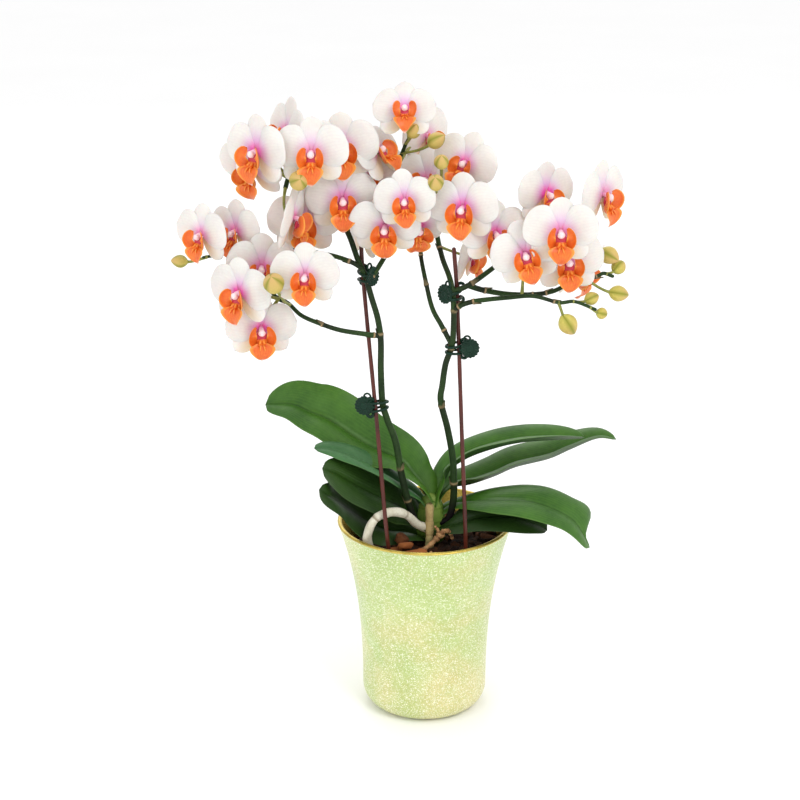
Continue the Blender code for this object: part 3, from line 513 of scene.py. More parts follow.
def makeBarkBed():
    # Bed: z = a few summed waves, dipping at the pot's wall, with a flat underside.
    edgeHeight = float(pot["height"] - pot["barkDrop"] - pot["barkEdgeDrop"])
    wall = float(potRadius(np.array(edgeHeight)) - pot["wall"] - bark["gap"])
    r = np.append(np.linspace(0, wall, 46), [wall, wall - 6, 0])[:, None]
    a = np.linspace(0, 2 * np.pi, 121)
    x, y = r * np.cos(a), r * np.sin(a)
    waves = np.sin(x / 2.9 + 1.3 * np.sin(y / 4.1)) * np.cos(y / 3.3 + x / 7) + 0.6 * np.sin(x / 1.4 + y / 1.9)
    inside = np.clip((wall - r) / bark["edge"], 0, 1)
    z = -bark["sink"] + bark["bump"] * waves * inside - pot["barkEdgeDrop"] * (1 - inside)
    z[-3:] = -bark["underside"]
    bed = surface(above(np.stack([x, y, z], -1)), 0, (0 * x, 0.25 + 0 * x))
    return settle(pieceFrom("bark_bed_top", [bed], [barkChip]), "bark", "bark_bed")


def makeBarkChips():
    # Chip: a ball whose sines and cosines are raised to a power under 1, nearer a box, with rough faces.
    count, rows, columns = bark["chips"], 7, 10
    u, v = np.linspace(-np.pi / 2, np.pi / 2, rows)[:, None], np.linspace(-np.pi, np.pi, columns + 1)

    def boxy(value):
        return np.sign(value) * np.abs(value) ** bark["squareness"]

    ball = [boxy(np.cos(u)) * boxy(np.cos(v)), boxy(np.cos(u)) * boxy(np.sin(v)), boxy(np.sin(u))]
    ball = np.stack(np.broadcast_arrays(*ball), -1)
    half = np.stack([chance.uniform(*bark[label], count) for label in ("length", "width", "height")], 1) / 2
    push = 1 + chance.uniform(-bark["unevenness"], bark["unevenness"], (count, rows, columns + 1, 3))
    push[:, :, -1] = push[:, :, 0]
    push[:, 0], push[:, -1] = push[:, :1, 0], push[:, -1:, 0]
    angle, lean = chance.uniform(0, 2 * np.pi, count), chance.normal(0, 0.3, (count, 2))
    away = np.sqrt(chance.uniform(0, 1, count)) * bark["reach"]
    way = chance.uniform(0, 2 * np.pi, count)
    middle = np.stack([away * np.cos(way), away * np.sin(way), chance.uniform(-1.6, 1.4, count)], 1)
    tones = np.stack([chance.uniform(0, 0.6, count) ** 2, chance.uniform(0.1, 1, count) ** 0.9], 1)
    for index, (place, size, turn, tilt, tone) in enumerate(bark["feature"]):
        middle[index], half[index], angle[index] = place, np.array(size) / 2, turn
        lean[index], tones[index] = tilt, tone
    chips = ball * push * half[:, None, None]
    grids = []
    for index in range(count):
        turn = np.array(Euler((*lean[index], angle[index])).to_matrix())
        grids.append(surface(above(chips[index] @ turn.T + middle[index]), 0, tones[index]))
    return settle(pieceFrom("bark_chips", grids, [barkChip], 1e-7), "bark", "bark_chip")


makeBarkBed()
makeBarkChips()
print("bark made")


stems = {  # centre lines in mm above the bark, radius at start and end, node rings as shares of the length
    "left": {
        "main": ([(-3, -6.5, 14), (-6, -12, 19), (-11, -14, 32), (-17, -20, 60), (-21, -26, 86),
                  (-27, -30, 105), (-30, -33, 118), (-31, -34, 141), (-31, -35, 163), (-33, -34, 178),
                  (-37, -33, 192), (-41, -32, 206), (-46, -29, 217), (-51, -23, 230), (-56, -16, 240),
                  (-60, -10, 254), (-66, -6, 268), (-77, -8, 277), (-87, -12, 276), (-92, -18, 271),
                  (-94, -22, 265)],
                 2.6, 1.6, (0.09, 0.18, 0.51, 0.63, 0.78, 0.9)),
        "low": ([(-31, -35, 166), (-44, -39, 169), (-58, -41, 172), (-70, -41, 176), (-84, -37, 181),
                 (-93, -32, 188), (-100, -27, 190), (-107, -22, 196), (-111, -20, 207)],
                1.8, 1.2, (0.05, 0.41, 0.72)),
        "middle": ([(-43, -31, 212), (-51, -32, 217), (-65, -26, 220), (-85, -18, 221), (-106, -12, 220),
                    (-124, -10, 218), (-143, -12, 216), (-151, -14, 215)], 1.7, 1.1, (0.09, 0.5, 0.8)),
        "upper": ([(-40, -33, 203), (-33, -27, 211), (-24, -11, 224), (-20, -4, 242), (-18, 0, 259),
                   (-18, -1, 278), (-15, -6, 289), (-12, -10, 296)], 1.8, 1.2, (0.05, 0.3, 0.72)),
    },
    "right": {
        "main": ([(11, -4, 16), (17, -6, 21), (20, -8, 36), (20, -11, 52), (19, -14, 70), (15, -20, 94),
                  (10, -28, 117), (11, -31, 130), (13, -34, 146), (17, -36, 159), (18, -36, 171),
                  (18, -36, 186), (17, -36, 198), (15, -29, 206), (11, -16, 214), (8, -5, 224), (6, -1, 236),
                  (8, -4, 248), (11, -8, 256)], 2.6, 1.6, (0.14, 0.39, 0.56, 0.66, 0.85)),
        "inner": ([(17, -36, 160), (10, -30, 172), (4, -24, 182), (0, -15, 196), (-4, -4, 216), (-3, 0, 233),
                   (0, -1, 247), (3, -3, 257)], 1.8, 1.2, (0.1, 0.41, 0.6, 0.8)),
        "top": ([(17, -36, 197), (29, -34, 202), (44, -24, 210), (56, -14, 217), (70, -8, 223), (85, -4, 227),
                 (101, -4, 231), (110, -8, 228)], 1.9, 1.2, (0.13, 0.4, 0.6, 0.8)),
        "low": ([(18, -36, 185), (25, -40, 190), (35, -42, 193), (54, -42, 195), (71, -42, 196),
                 (88, -40, 191), (99, -38, 191), (113, -36, 185)], 1.8, 1.1, (0.05, 0.16, 0.7)),
        "outer": ([(28, -34, 201), (38, -31, 197), (54, -30, 194), (71, -31, 194), (84, -31, 196),
                   (94, -29, 200), (104, -28, 203), (114, -26, 205), (119, -25, 207), (125, -25, 205)],
                  2.0, 1.2, (0.12, 0.44, 0.53, 0.88)),
    },
}
# sheath: how far below each node ring the painted shade reaches, as a share of the stem's length
stem = {"ring": 0.85, "swell": 0.24, "sides": 14, "stalk": 0.95, "sheath": 0.13, "rows": 220, "bract": 6.5}
buds = [  # spike, where its stalk starts, middle, length, width, in mm
    ("left", (-90, -16, 273), (-83, -58, 278), 15, 13), ("left", (-92, -33, 187), (-100, -70, 213), 17, 14),
    ("left", (-149, -14, 215), (-167, -16, 213), 12, 9), ("left", (-14, -9, 291), (-9, -16, 302), 12, 10),
    ("left", (-17, -7, 283), (6, -18, 296), 15, 11), ("right", (10, -7, 254), (9, -38, 286), 12, 10),
    ("right", (9, -5, 250), (5, -50, 275), 14, 11), ("right", (109, -8, 229), (123, -20, 218), 16, 12),
    ("right", (121, -25, 206), (130, -16, 209), 12, 10), ("right", (107, -27, 203), (130, -22, 192), 15, 11),
    ("right", (98, -38, 191), (111, -30, 191), 12, 9), ("right", (110, -36, 187), (118, -32, 181), 9, 8),
    ("right", (88, -40, 191), (95, -38, 175), 17, 13),
]
bud = {"droop": 0.12, "seat": 0.42}
stemPoints = {spike: [] for spike in stems}


def makeStem(spike, branch):
    # Stem: radius eases from start to end, times 1 + swell e^-(distance / ring)^2 at each node ring. Painted
    # shade darkens it for a stretch below each node ring and at the main stem's base.
    points, first, last, rings = stems[spike][branch]
    path = curveThrough(above(points), stem["rows"])
    length = np.linalg.norm(np.diff(path, axis=0), axis=1).sum() / mm
    share = np.linspace(0, 1, len(path))
    gap = (share[:, None] - np.array(rings)) * length
    ring = np.exp(-(gap / stem["ring"]) ** 2).sum(1)
    radius = (first + (last - first) * share) * (1 + stem["swell"] * ring)
    # Painted shade: darker for a stretch below each node ring, and at the main stem's base among the leaves
    under = np.clip(1 + gap / (stem["sheath"] * length), 0, 1) * (gap < 0)
    paintedShade = np.clip(under.max(1) * 0.75, 0, 1)
    if branch == "main":
        paintedShade = np.maximum(0.7 * paintedShade, np.clip(1.5 - share / 0.1, 0, 1))
    bract = np.clip(ring * 1.2 - 0.35, 0, 1)
    stemPoints[spike].append(path)
    return tubeOf(path, radius * mm, stem["sides"], 0, (bract, paintedShade * (1 - bract)))


def makeBracts(spike, branch):
    # A small pointed scale that hugs the stem above each node ring, on alternate sides.
    points, first, last, rings = stems[spike][branch]
    path = curveThrough(above(points), stem["rows"])
    along, side, up = framesAlong(path)
    t = np.linspace(0, 1, 9)[:, None]
    made = []
    for number, share in enumerate(rings):
        at = int(share * (stem["rows"] - 1))
        radius = (first + (last - first) * share) * mm
        turn = number * np.pi + 0.4
        way = side[at] * math.cos(turn) + up[at] * math.sin(turn)
        middle = path[at] + along[at] * ((t - 0.15) * stem["bract"] * mm)
        middle = middle + way * (radius * (1.16 + 0.5 * t**2))
        half = radius * 1.25 * np.sqrt(1 - t[:, 0]) + 1e-5

        def hug(u, across, radius=radius):
            return -radius * 0.75 * across**2 * (1 - 0.4 * u)

        made.append(bladeOf(middle, np.cross(along[at], way), way, half, hug, 0.35 * mm, 12, 0,
                            lambda p, u, a: (0.6 - 0.6 * u, 0.3)))
    return made


def turnTo(direction):
    # Rotation whose third axis points that way.
    third = unit(np.asarray(direction, float))
    first = unit(np.cross([0.31, 0.94, 0.12], third))
    return np.stack([first, np.cross(third, first), third], 1)


def nearestOn(spikes, place):
    # The nearest point on some spikes' stems to a place.
    known = np.vstack([path for spike in spikes for path in stemPoints[spike]])
    return known[np.linalg.norm(known - place, axis=1).argmin()]


def stalkOf(start, middle, end, material):
    # Flower or bud stalk: a quadratic curve (1-t)^2 a + 2t(1-t) b + t^2 c, thicker at both ends.
    t = np.linspace(0, 1, 22)[:, None]
    path = (1 - t) ** 2 * start + 2 * t * (1 - t) * middle + t**2 * end
    return tubeOf(path, stem["stalk"] * mm * (1 + 0.45 * np.abs(2 * t[:, 0] - 1) ** 4), 10, material)


def makeBud(spike, start, middle, length, width):
    root, place = nearestOn([spike], above(start)), above(middle)
    away = place - root
    sag = root + away * 0.5 - np.array([0, 0, bud["droop"]]) * np.linalg.norm(away)
    way = unit(place - sag)
    return [eggOf(place, turnTo(way), length * mm, width * mm, material=1),
            stalkOf(root, sag, place - way * length * bud["seat"] * mm, 2)]


for spike in stems:
    grown = [makeStem(spike, branch) for branch in stems[spike]]
    for branch in stems[spike]:
        grown += makeBracts(spike, branch)
    for owner, *shape in buds:
        if owner == spike:
            grown += makeBud(spike, *shape)
    item = pieceFrom(f"spike_{spike}_stem", grown, [stemGreen, budGreen, stalkGreen])
    settle(item, "stem", f"spike_{spike}")
print("stems and buds made")


flower = {"petal": 26.0, "petalWidth": 29.5, "petalAngle": 77, "lateral": 25.0, "lateralWidth": 16.5,
          "lateralAngle": 134, "dorsal": 25.0, "dorsalWidth": 17.5, "heart": 1.2, "thickness": 0.5,
          "flushReach": 10.5, "rows": 24, "columns": 32, "size": 0.96, "neck": 9}
flowers = {  # centre in mm above the bark; turn to the right, lift and roll in degrees; size if not the usual
    "left_1": ((-111, -45, 294), -35, 0, 0), "left_2": ((-75, -52, 295), -3, 3, 0),
    "left_3": ((-56, -32, 294), 5, 0, 0), "left_4": ((-41, -8, 272), 0, 0, 0),
    "left_5": ((-94, -14, 300), -60, 10, 0), "left_6": ((-117, -22, 278), -30, -20, 0),
    "left_7": ((-150, -30, 235), -35, 0, 0, 0.86), "left_8": ((-128, -22, 235), -35, 0, 0, 0.86),
    "left_9": ((-110, -36, 214), 0, 0, 0), "left_10": ((-80, -60, 215), -5, 0, 0, 0.9),
    "left_11": ((-124, -52, 201), -30, 0, 0), "left_12": ((-111, -44, 174), 10, -8, 0),
    "left_13": ((-82, -24, 242), 0, 0, 0), "left_14": ((-88, -45, 250), 76, -10, 0),
    "left_15": ((-56, -31, 259), 5, 0, 0), "left_16": ((-44, -7, 234), 120, 10, 0),
    "middle_1": ((-15, -12, 315), 0, 35, 0, 0.84), "middle_2": ((-33, -16, 288), 52, 34, 8, 0.88),
    "middle_3": ((-34, 20, 264), 40, -10, 0), "middle_4": ((0, 34, 288), 50, 0, 0),
    "middle_5": ((25, -14, 280), -20, 8, -18, 0.88), "middle_6": ((-15, -50, 263), -5, 0, 6, 0.82),
    "middle_7": ((-28, -40, 243), -5, -15, 0), "middle_8": ((-6, -24, 240), 15, -35, 0),
    "middle_9": ((23, -42, 256), -15, 0, 0), "middle_10": ((0, 12, 262), -20, 20, 0),
    "right_1": ((45, -35, 237), 15, 0, 0, 0.92), "right_2": ((64, -54, 228), 0, 0, 17, 0.92),
    "right_3": ((86, -62, 245), 0, 0, 0), "right_4": ((79, -26, 262), 30, 0, 0, 0.88),
    "right_5": ((117, -22, 260), 50, 0, 0), "right_6": ((94, -36, 219), 5, 0, 0),
    "right_7": ((108, 2, 202), 60, -30, 0), "right_8": ((30, 2, 211), 68, -10, 0, 0.86),
}
stalkStarts = {"left_11": (-99, -28, 190), "middle_4": (-18, -1, 278), "right_2": (64, -31, 194),
               "right_3": (72, -7, 223)}
outlines = {  # share of the length, share of the half width
    "petal": [(0, 0.2), (0.08, 0.34), (0.2, 0.66), (0.36, 0.93), (0.5, 1.0), (0.66, 0.96), (0.82, 0.79),
              (0.93, 0.5), (1, 0.03)],
    "sepal": [(0, 0.34), (0.12, 0.5), (0.3, 0.78), (0.5, 0.98), (0.62, 1.0), (0.76, 0.9), (0.88, 0.66),
              (0.96, 0.36), (1, 0.02)],
    "midLobe": [(0, 0.4), (0.1, 0.52), (0.22, 0.86), (0.32, 1.0), (0.44, 0.96), (0.6, 0.72), (0.76, 0.45),
                (0.9, 0.22), (1, 0.03)],
    "ear": [(0, 0.3), (0.12, 0.6), (0.3, 0.9), (0.52, 1.0), (0.74, 0.98), (0.88, 0.8), (0.96, 0.5), (1, 0.04)],
    "crown": [(0, 0.0), (0.02, 0.85), (0.3, 1.0), (0.7, 0.86), (0.9, 0.62), (0.97, 0.35), (1, 0.0)],
    "column": [(0, 1.8), (0.4, 1.7), (0.75, 2.0), (1, 2.1)],
}


def profileOf(outline, rows):
    # A smooth outline through (share, value) pairs, read at even shares.
    line = curveThrough(outlines[outline], 80)
    return np.interp(np.linspace(0, 1, rows), np.maximum.accumulate(line[:, 0]), np.clip(line[:, 1], 0, None))


def flushTone(reach, strength, oliveSide=0.0, oliveStrength=0.0):
    # Pink falls off with the distance from the flower's centre; olive sits on the inner lower half.

    def tones(points, u, across):
        away = np.linalg.norm(points[..., :2], axis=-1) / mm
        pink = strength * np.clip(1.35 - away / reach, 0, 1) ** 1.9
        inner = np.clip(0.5 + across * oliveSide * 1.1, 0, 1) * np.clip(1.25 - u * 1.15, 0, 1)
        return pink, oliveStrength * inner
    return tones


def tepal(degrees, length, width, outline, base, cup, curl, wave, phase, tones, bend=0.0):
    # Petal or sepal: z = base + cup sin(0.9 pi u) - curl u^3 - 0.085 w a^2 sqrt(sin pi u), with small waves on
    # the margin and a furrow -0.35 e^-(a / 0.09)^2 down its middle.
    angle, rows, heart = math.radians(degrees), flower["rows"], flower["heart"]
    u = np.linspace(0, 1, rows)[:, None]
    way = np.array([math.cos(angle), math.sin(angle), 0.0])
    side = np.array([-math.sin(angle), math.cos(angle), 0.0])
    half = profileOf(outline, rows) * width / 2 * mm
    middle = way * (heart + (length - heart) * u) * mm + side * (bend * np.sin(np.pi * u)) * mm
    middle[:, 2] += base * mm

    def lift(u, across):
        body = cup * np.sin(np.pi * u * 0.9) - curl * u**3
        body = body - 0.085 * width * across**2 * np.sin(np.pi * u) ** 0.5
        ripple = wave * np.sin(7 * u + phase + 2 * across) * np.abs(across) ** 3
        furrow = -0.35 * np.exp(-(across / 0.09) ** 2) * (1 - u)
        return (body + ripple + furrow) * mm

    thickness = flower["thickness"] * mm
    return bladeOf(middle, side, [0.0, 0.0, 1.0], half, lift, thickness, flower["columns"], 0, tones)


lip = {
    "rows": 18, "skin": 0.6, "midWidth": 8.9, "midSweep": -1.6, "earWidth": 4.0, "earArc": (-84, 62),
    "earRadius": 7.5,
    "midPath": [(0, -8.4, 6.0), (0, -11.4, 8.4), (0, -15.0, 8.8), (0, -18.8, 7.6), (0, -22.4, 5.0)],
    "earFocus": (0, -3.4, 17.0),
    "throat": [(-4.4, 3.8, 4.0, 8.4, 0.95), (-8.0, 4.2, 5.0, 8.0, 0.12)],  # y, z, length, width, redness
    "callus": [([(1.1, -7.4, 6.0), (1.9, -8.6, 8.6), (2.4, -7.6, 10.2)], 1.4),
               ([(0.9, -8.8, 6.4), (1.5, -10.8, 9.0), (1.9, -12.2, 9.8)], 1.2)],
}


def lipParts(gape):
    # Lip: a trowel-shaped middle lobe, ears on an arc that cup the column, a red throat and a forked callus.
    rows, skin = lip["rows"], lip["skin"] * mm
    path = curveThrough(np.array(lip["midPath"]) * mm, rows)
    right = np.array([1.0, 0.0, 0.0])
    normal = -np.cross(unit(np.gradient(path, axis=0)), right)

    def midLift(u, across):
        trough = -1.6 * across**2 * np.sin(np.pi * np.clip(u, 0.1, 0.95))
        return (trough + 0.5 * np.exp(-(across / 0.12) ** 2)) * mm

    def earLift(u, across):
        return 1.9 * across**2 * np.sin(np.pi * np.clip(u, 0.15, 0.9)) * mm

    midHalf = profileOf("midLobe", rows) * lip["midWidth"] * mm
    earHalf = profileOf("ear", rows) * lip["earWidth"] * mm
    made = [bladeOf(path, right, normal, midHalf, midLift, skin, 26, 1,
                    lambda p, u, a: (np.clip((u - 0.84) * 7, 0, 0.9), 0), lip["midSweep"] * mm)]
    arc = np.radians(np.linspace(*lip["earArc"], rows))
    away = lip["earRadius"] + gape * np.cos(arc)
    for hand in (-1, 1):
        ear = [hand * away * np.cos(arc), -3.2 + away * np.sin(arc), 7.9 - 3.2 * np.abs(arc - 0.15) ** 1.5]
        ear = np.stack(ear, 1) * mm
        along = unit(np.gradient(ear, axis=0))
        inward = unit(np.array(lip["earFocus"]) * mm - ear)
        inward = unit(inward - along * (inward * along).sum(1, keepdims=True))
        made.append(bladeOf(ear, np.cross(along, inward), inward, earHalf, earLift, skin, 24, 1,
                            lambda p, u, a: (0, np.clip(0.2 - u, 0, 1))))
    for y, z, length, width, redness in lip["throat"]:
        made.append(eggOf(np.array([0, y, z]) * mm, turnTo((0, 0.1, 1)), length * mm, width * mm, depth=0.0,
                          material=1, tone=(0, redness), rows=10, sides=16))
    for hand in (-1, 1):
        for points, thick in lip["callus"]:
            fork = curveThrough(np.array(points) * [hand, 1, 1] * mm, 10)
            made.append(tubeOf(fork, np.linspace(thick, 0.4, 10) * mm, 10, 1))
    return made


def columnParts():
    # Column: a short curved post that ends in a rounded cap.
    path = curveThrough(np.array([(0, 0.4, -0.6), (0, 0.5, 1.4), (0, 0.2, 3.4), (0, -0.6, 5.2)]) * mm, 14)
    post = tubeOf(path, profileOf("column", 14) * mm, 16, 2, (np.linspace(0.95, 0.1, 14), 0))
    cap = eggOf(np.array([0, -0.9, 6.2]) * mm, turnTo((0, -0.5, 1)), 4.6 * mm, 5.3 * mm, seams=2, depth=0.04,
                material=2, tone=(0.05, 0), rows=12, sides=18)
    return [post, cap]


def faceTurn(turnRight, lift, roll):
    face = Euler((math.radians(90 - lift), 0.0, math.radians(turnRight)))
    return np.array(face.to_matrix() @ Euler((0.0, 0.0, math.radians(roll))).to_matrix())


def makeFlower(name, centre, turnRight, lift, roll, size=flower["size"]):
    # Flower: a sepal on top and two below, two broad petals in front of them, a lip, a column and a stalk.
    turn, place = faceTurn(turnRight, lift, roll), above(centre)
    vary = chance.uniform(-1, 1, 16)
    strength = 0.8 + 0.2 * vary[0]
    reach = flower["flushReach"] * (1 + 0.15 * vary[1])
    length = flower["dorsal"] + 0.8 * vary[3]
    grown = [tepal(90 + 3 * vary[2], length, flower["dorsalWidth"], "sepal", -0.9, 0.6, 0.8 + 1.4 * vary[4],
                   0.35, vary[5] * 3, flushTone(reach * 1.25, strength * 0.8))]
    for hand in (1, -1):
        degrees = 90 - hand * flower["lateralAngle"] + 2.5 * vary[6 + hand]
        grown.append(tepal(degrees, flower["lateral"], flower["lateralWidth"], "sepal", -1.0, 0.5,
                           1.2 + 0.8 * vary[8], 0.4, vary[9] * 3 + hand,
                           flushTone(reach * 0.7, strength * 0.5, -hand, 0.75)))
    for hand in (1, -1):
        degrees = 90 - hand * flower["petalAngle"] + 2 * vary[10]
        length = flower["petal"] + 0.6 * vary[11 + hand]
        grown.append(tepal(degrees, length, flower["petalWidth"], "petal", 0.5, 1.5, 1.4 + 0.9 * vary[13],
                           0.55, vary[14] * 3 + 2 * hand, flushTone(reach, strength), hand * 1.2))
    grown += lipParts(0.5 * vary[15]) + columnParts()
    for one in grown:
        one["points"] = size * one["points"] @ turn.T + place
    back = place - turn[:, 2] * flower["neck"] * mm
    group = name.split("_")[0]
    start = above(stalkStarts[name]) if name in stalkStarts else back
    end = nearestOn([group] if group in stems else stems, start)
    grown.append(stalkOf(place - turn[:, 2] * 0.2 * mm, back, end, 3))
    item = pieceFrom(f"orchid_flower_{name}", grown, [petalWhite, lipOrange, columnPale, stalkGreen])
    return settle(item, "petal", f"flower_{name}")


for name, pose in flowers.items():
    makeFlower(name, *pose)
print("flowers made")


# The shade value in each leaf's list is painted shade for leaves that lie in shadow under others
leaves = {  # midrib in mm above the bark, half width, tilt and two folds in degrees, shade, base's width share
    "leaf_left_1": ([(4, -2, 30), (-1, 0, 41), (-8, 3, 49), (-19, 8, 60), (-42, 14, 69), (-68, 20, 85),
                     (-82, 24, 90), (-96, 27, 95), (-115, 30, 94)], 24.5, 38, 40, 20, 0.0, 0.42),
    "leaf_left_2": ([(2, -2, 22), (-6, -2, 35), (-17, -3, 44), (-36, -9, 59), (-53, -14, 71), (-67, -17, 77),
                     (-78, -20, 79)], 14.5, 14, 26, 5, 0.1, 0.45),
    "leaf_left_3": ([(0, -2, 8), (-8, -3, 20), (-19, -5, 29), (-34, -13, 40), (-49, -22, 52), (-62, -28, 63),
                     (-72, -32, 69)], 20, 44, 20, 6, 0.66, 0.7),
    "leaf_left_4": ([(-2, -3, 3), (-14, -6, 9), (-29, -11, 14), (-45, -19, 26), (-58, -29, 40),
                     (-67, -38, 50), (-74, -42, 57)], 17.5, 50, 20, 5, 0.68, 0.6),
    "leaf_right_1": ([(5, -1, 26), (9, 2, 38), (14, 5, 48), (18, 6, 55), (31, 8, 63), (50, 8, 70),
                      (68, 8, 74), (89, 7, 76), (113, 4, 78)], 17, 0, 28, 26, 0.0, 0.42),
    "leaf_right_2": ([(5, 0, 20), (10, 5, 31), (19, 12, 38), (33, 19, 38), (50, 24, 42), (66, 27, 48),
                      (90, 30, 53), (106, 31, 60), (125, 31, 68), (139, 30, 67)], 19, 0, 40, 22, 0.1, 0.42),
    "leaf_right_3": ([(4, 0, 12), (10, 1, 21), (20, 3, 27), (38, -5, 33), (57, -18, 39), (75, -29, 42),
                      (92, -38, 39), (104, -43, 32), (114, -46, 15)], 23, 8, 5, 3, 0.0, 0.12),
    "leaf_right_4": ([(4, -4, 6), (10, -9, 12), (20, -14, 18), (38, -17, 25), (58, -20, 27), (76, -22, 23),
                      (86, -23, 18)], 15.5, 25, 15, 5, 0.75, 0.42),
}
leaf = {"thickness": 1.6, "fullAt": 0.55, "groove": 1.0, "ripple": 0.6, "bow": 0.1, "rows": 60, "columns": 48,
        "torn": "leaf_right_3", "bulgeAt": 0.88, "tornAt": 0.945}


def makeLeaf(name, points, halfWidth, tilt, baseFold, tipFold, shade, baseShare):
    # Strap leaf: half width w (b + (1-b) sin(pi/2 u/full)^1.5), rounded off past its full width by an ellipse;
    # each side rises by fold -/+ tilt from the midrib. One side of the torn leaf bulges, then ends early.
    path = curveThrough(above(points), leaf["rows"])
    along = unit(np.gradient(path, axis=0))
    side = unit(np.cross(along, [0, 0, 1]))
    side = side * np.where(side[:, 1] > 0, -1, 1)[:, None]
    up = np.cross(side, along)
    up = up * np.where(up[:, 2] < 0, -1, 1)[:, None]
    u = np.linspace(0, 1, leaf["rows"])[:, None]
    a = np.linspace(0, 2 * np.pi, leaf["columns"] + 1)
    across = np.cos(a) + 0 * u
    fromRib = np.abs(across)
    swell = np.sin(np.pi / 2 * np.minimum(u / leaf["fullAt"], 1)) ** 1.5
    taper = np.sqrt(1 - np.clip(u - leaf["fullAt"], 0, 1) ** 2 / (1 - leaf["fullAt"]) ** 2)
    half = halfWidth * mm * (baseShare + (1 - baseShare) * swell) * (taper + 0.015)
    if name == leaf["torn"]:
        bulge = 1 + 0.4 * np.exp(-((u - leaf["bulgeAt"]) / 0.07) ** 2)
        half = np.where(across < 0, half * bulge * np.clip((leaf["tornAt"] - u) / 0.05, 0.1, 1), half)
    fold = np.radians(baseFold + (tipFold - baseFold) * np.sqrt(u))
    turn = fold - np.where(across > 0, 1, -1) * np.radians(tilt) * np.minimum(3 * u, 1)
    skin = leaf["thickness"] / 2 * mm * np.sin(a) * np.clip(1.4 - 0.9 * u, 0.5, 1.2)
    groove = -leaf["groove"] * mm * np.exp(-(across / 0.07) ** 2) * (1 - u) ** 0.5
    ripple = leaf["ripple"] * mm * np.sin(11 * u + halfWidth) * fromRib**2
    bow = leaf["bow"] * half * np.sin(np.pi * fromRib)
    rise = fromRib * np.sin(turn) * half + skin + groove + ripple + bow
    out = across * np.cos(turn) * half
    points = path[:, None] + side[:, None] * out[..., None] + up[:, None] * rise[..., None]
    points[0], points[-1] = points[0].mean(0), points[-1].mean(0)
    upper = np.clip(np.sin(a) * 4 + 0.5, 0, 1)
    # Tones: upper side or underside, and the leaf's painted shade
    grid = surface(points, 0, (upper, shade), np.stack([u + 0 * across, (across + 1) / 2], -1))
    kind = leafBlue if name == "leaf_left_2" else leafGreen
    return settle(pieceFrom(name + "_blade", [grid], [kind]), "leaf", name)


for name, shape in leaves.items():
    makeLeaf(name, *shape)

crown = {"place": (4, -1), "height": 38, "sunk": 4, "wide": 10.0, "deep": 7.6, "sheaths": 4.2, "step": 0.07}


def makeCrown():
    # Crown: an oval column (w cos a, d sin a) with sheath edges that step in as it rises, a painted highlight
    # on its upper front, and darker towards the bottom.
    u = np.linspace(0, 1, 60)[:, None]
    a = np.linspace(0, 2 * np.pi, 49)
    steps = 1 + crown["step"] * np.mod(u * crown["sheaths"], 1)[::-1]
    ridge = 1 + 0.05 * np.cos(2 * a) * u + 0.025 * np.cos(9 * a)
    radius = profileOf("crown", 60)[:, None] * steps
    x = crown["place"][0] + crown["wide"] * radius * np.cos(a) * ridge
    y = crown["place"][1] + crown["deep"] * radius * np.sin(a) * ridge
    z = -crown["sunk"] + (crown["height"] + crown["sunk"]) * u + 0 * a
    # Painted highlight: paler on the upper front side; the second tone is darker towards the bottom
    pale = np.clip(u * 1.2 - 0.3, 0, 0.5) * np.clip(-np.sin(a), 0, 1)
    grid = surface(above(np.stack([x, y, z], -1)), 0, (pale, np.clip(0.8 - u * 2.2, 0, 1)))
    return settle(pieceFrom("leaf_crown", [grid], [crownGreen]), "crown", "plant_crown")


makeCrown()

roots = {  # centre line in mm above the bark, radius, material, knobbliness
    "root_white": ([(2, -10, 14), (-6, -18, 21), (-12, -23, 29), (-18, -28, 34), (-24, -33, 36.5),
                    (-29, -36.4, 36.5), (-34, -39, 35), (-38.5, -40, 29), (-41, -35.5, 17), (-38.5, -31, 6),
                    (-38, -31, -3)],
                   3.1, rootPale, 0.07),
    "root_tan": ([(3, -8, 30), (3, -12, 27.5), (3, -13, 24), (3, -14, 20), (3, -17, 11), (3, -17.5, 5),
                  (3, -17.5, -3)], 2.9, rootTan, 0.06),
}
driedRoots = [  # centre line, radius at start and end
    ([(-30, -36, 0), (-15, -33, 2.2), (-5, -31, 5), (3, -28, 9), (8, -25, 13), (12, -24, 15)], 2.0, 1.6),
    ([(8, -25, 13), (13, -24, 18), (17, -23, 17), (19, -22, 12)], 2.2, 1.2),
    ([(8, -25, 12), (9, -24, 18), (7, -23, 21)], 1.6, 0.9),
    ([(-22, -38, 0.5), (-12, -38, 1.5), (-2, -36, 3.0), (4, -33, 6)], 1.2, 0.8),
]


def makeRoot(name, points, radius, material, knobs):
    # Root: radius r (1 + small waves along it), with a ring and two scars; the tan one is greener lower down.
    path = curveThrough(above(points), 110)
    share = np.linspace(0, 1, len(path))
    ring = 0.08 * np.exp(-((share - 0.56) / 0.012) ** 2)
    waves = 1 + knobs * (np.sin(17 * share + 1) + 0.6 * np.sin(41 * share)) + ring
    scar = np.exp(-((share - 0.575) / 0.006) ** 2) + 0.5 * np.exp(-((share - 0.3) / 0.01) ** 2)
    lower = np.clip((share - 0.55) * 3, 0, 0.8) if name == "root_tan" else scar
    grid = tubeOf(path, radius * waves * mm, 18, 0, (lower, scar * 0.6))
    return settle(pieceFrom(name + "_aerial", [grid], [material]), "root", name)


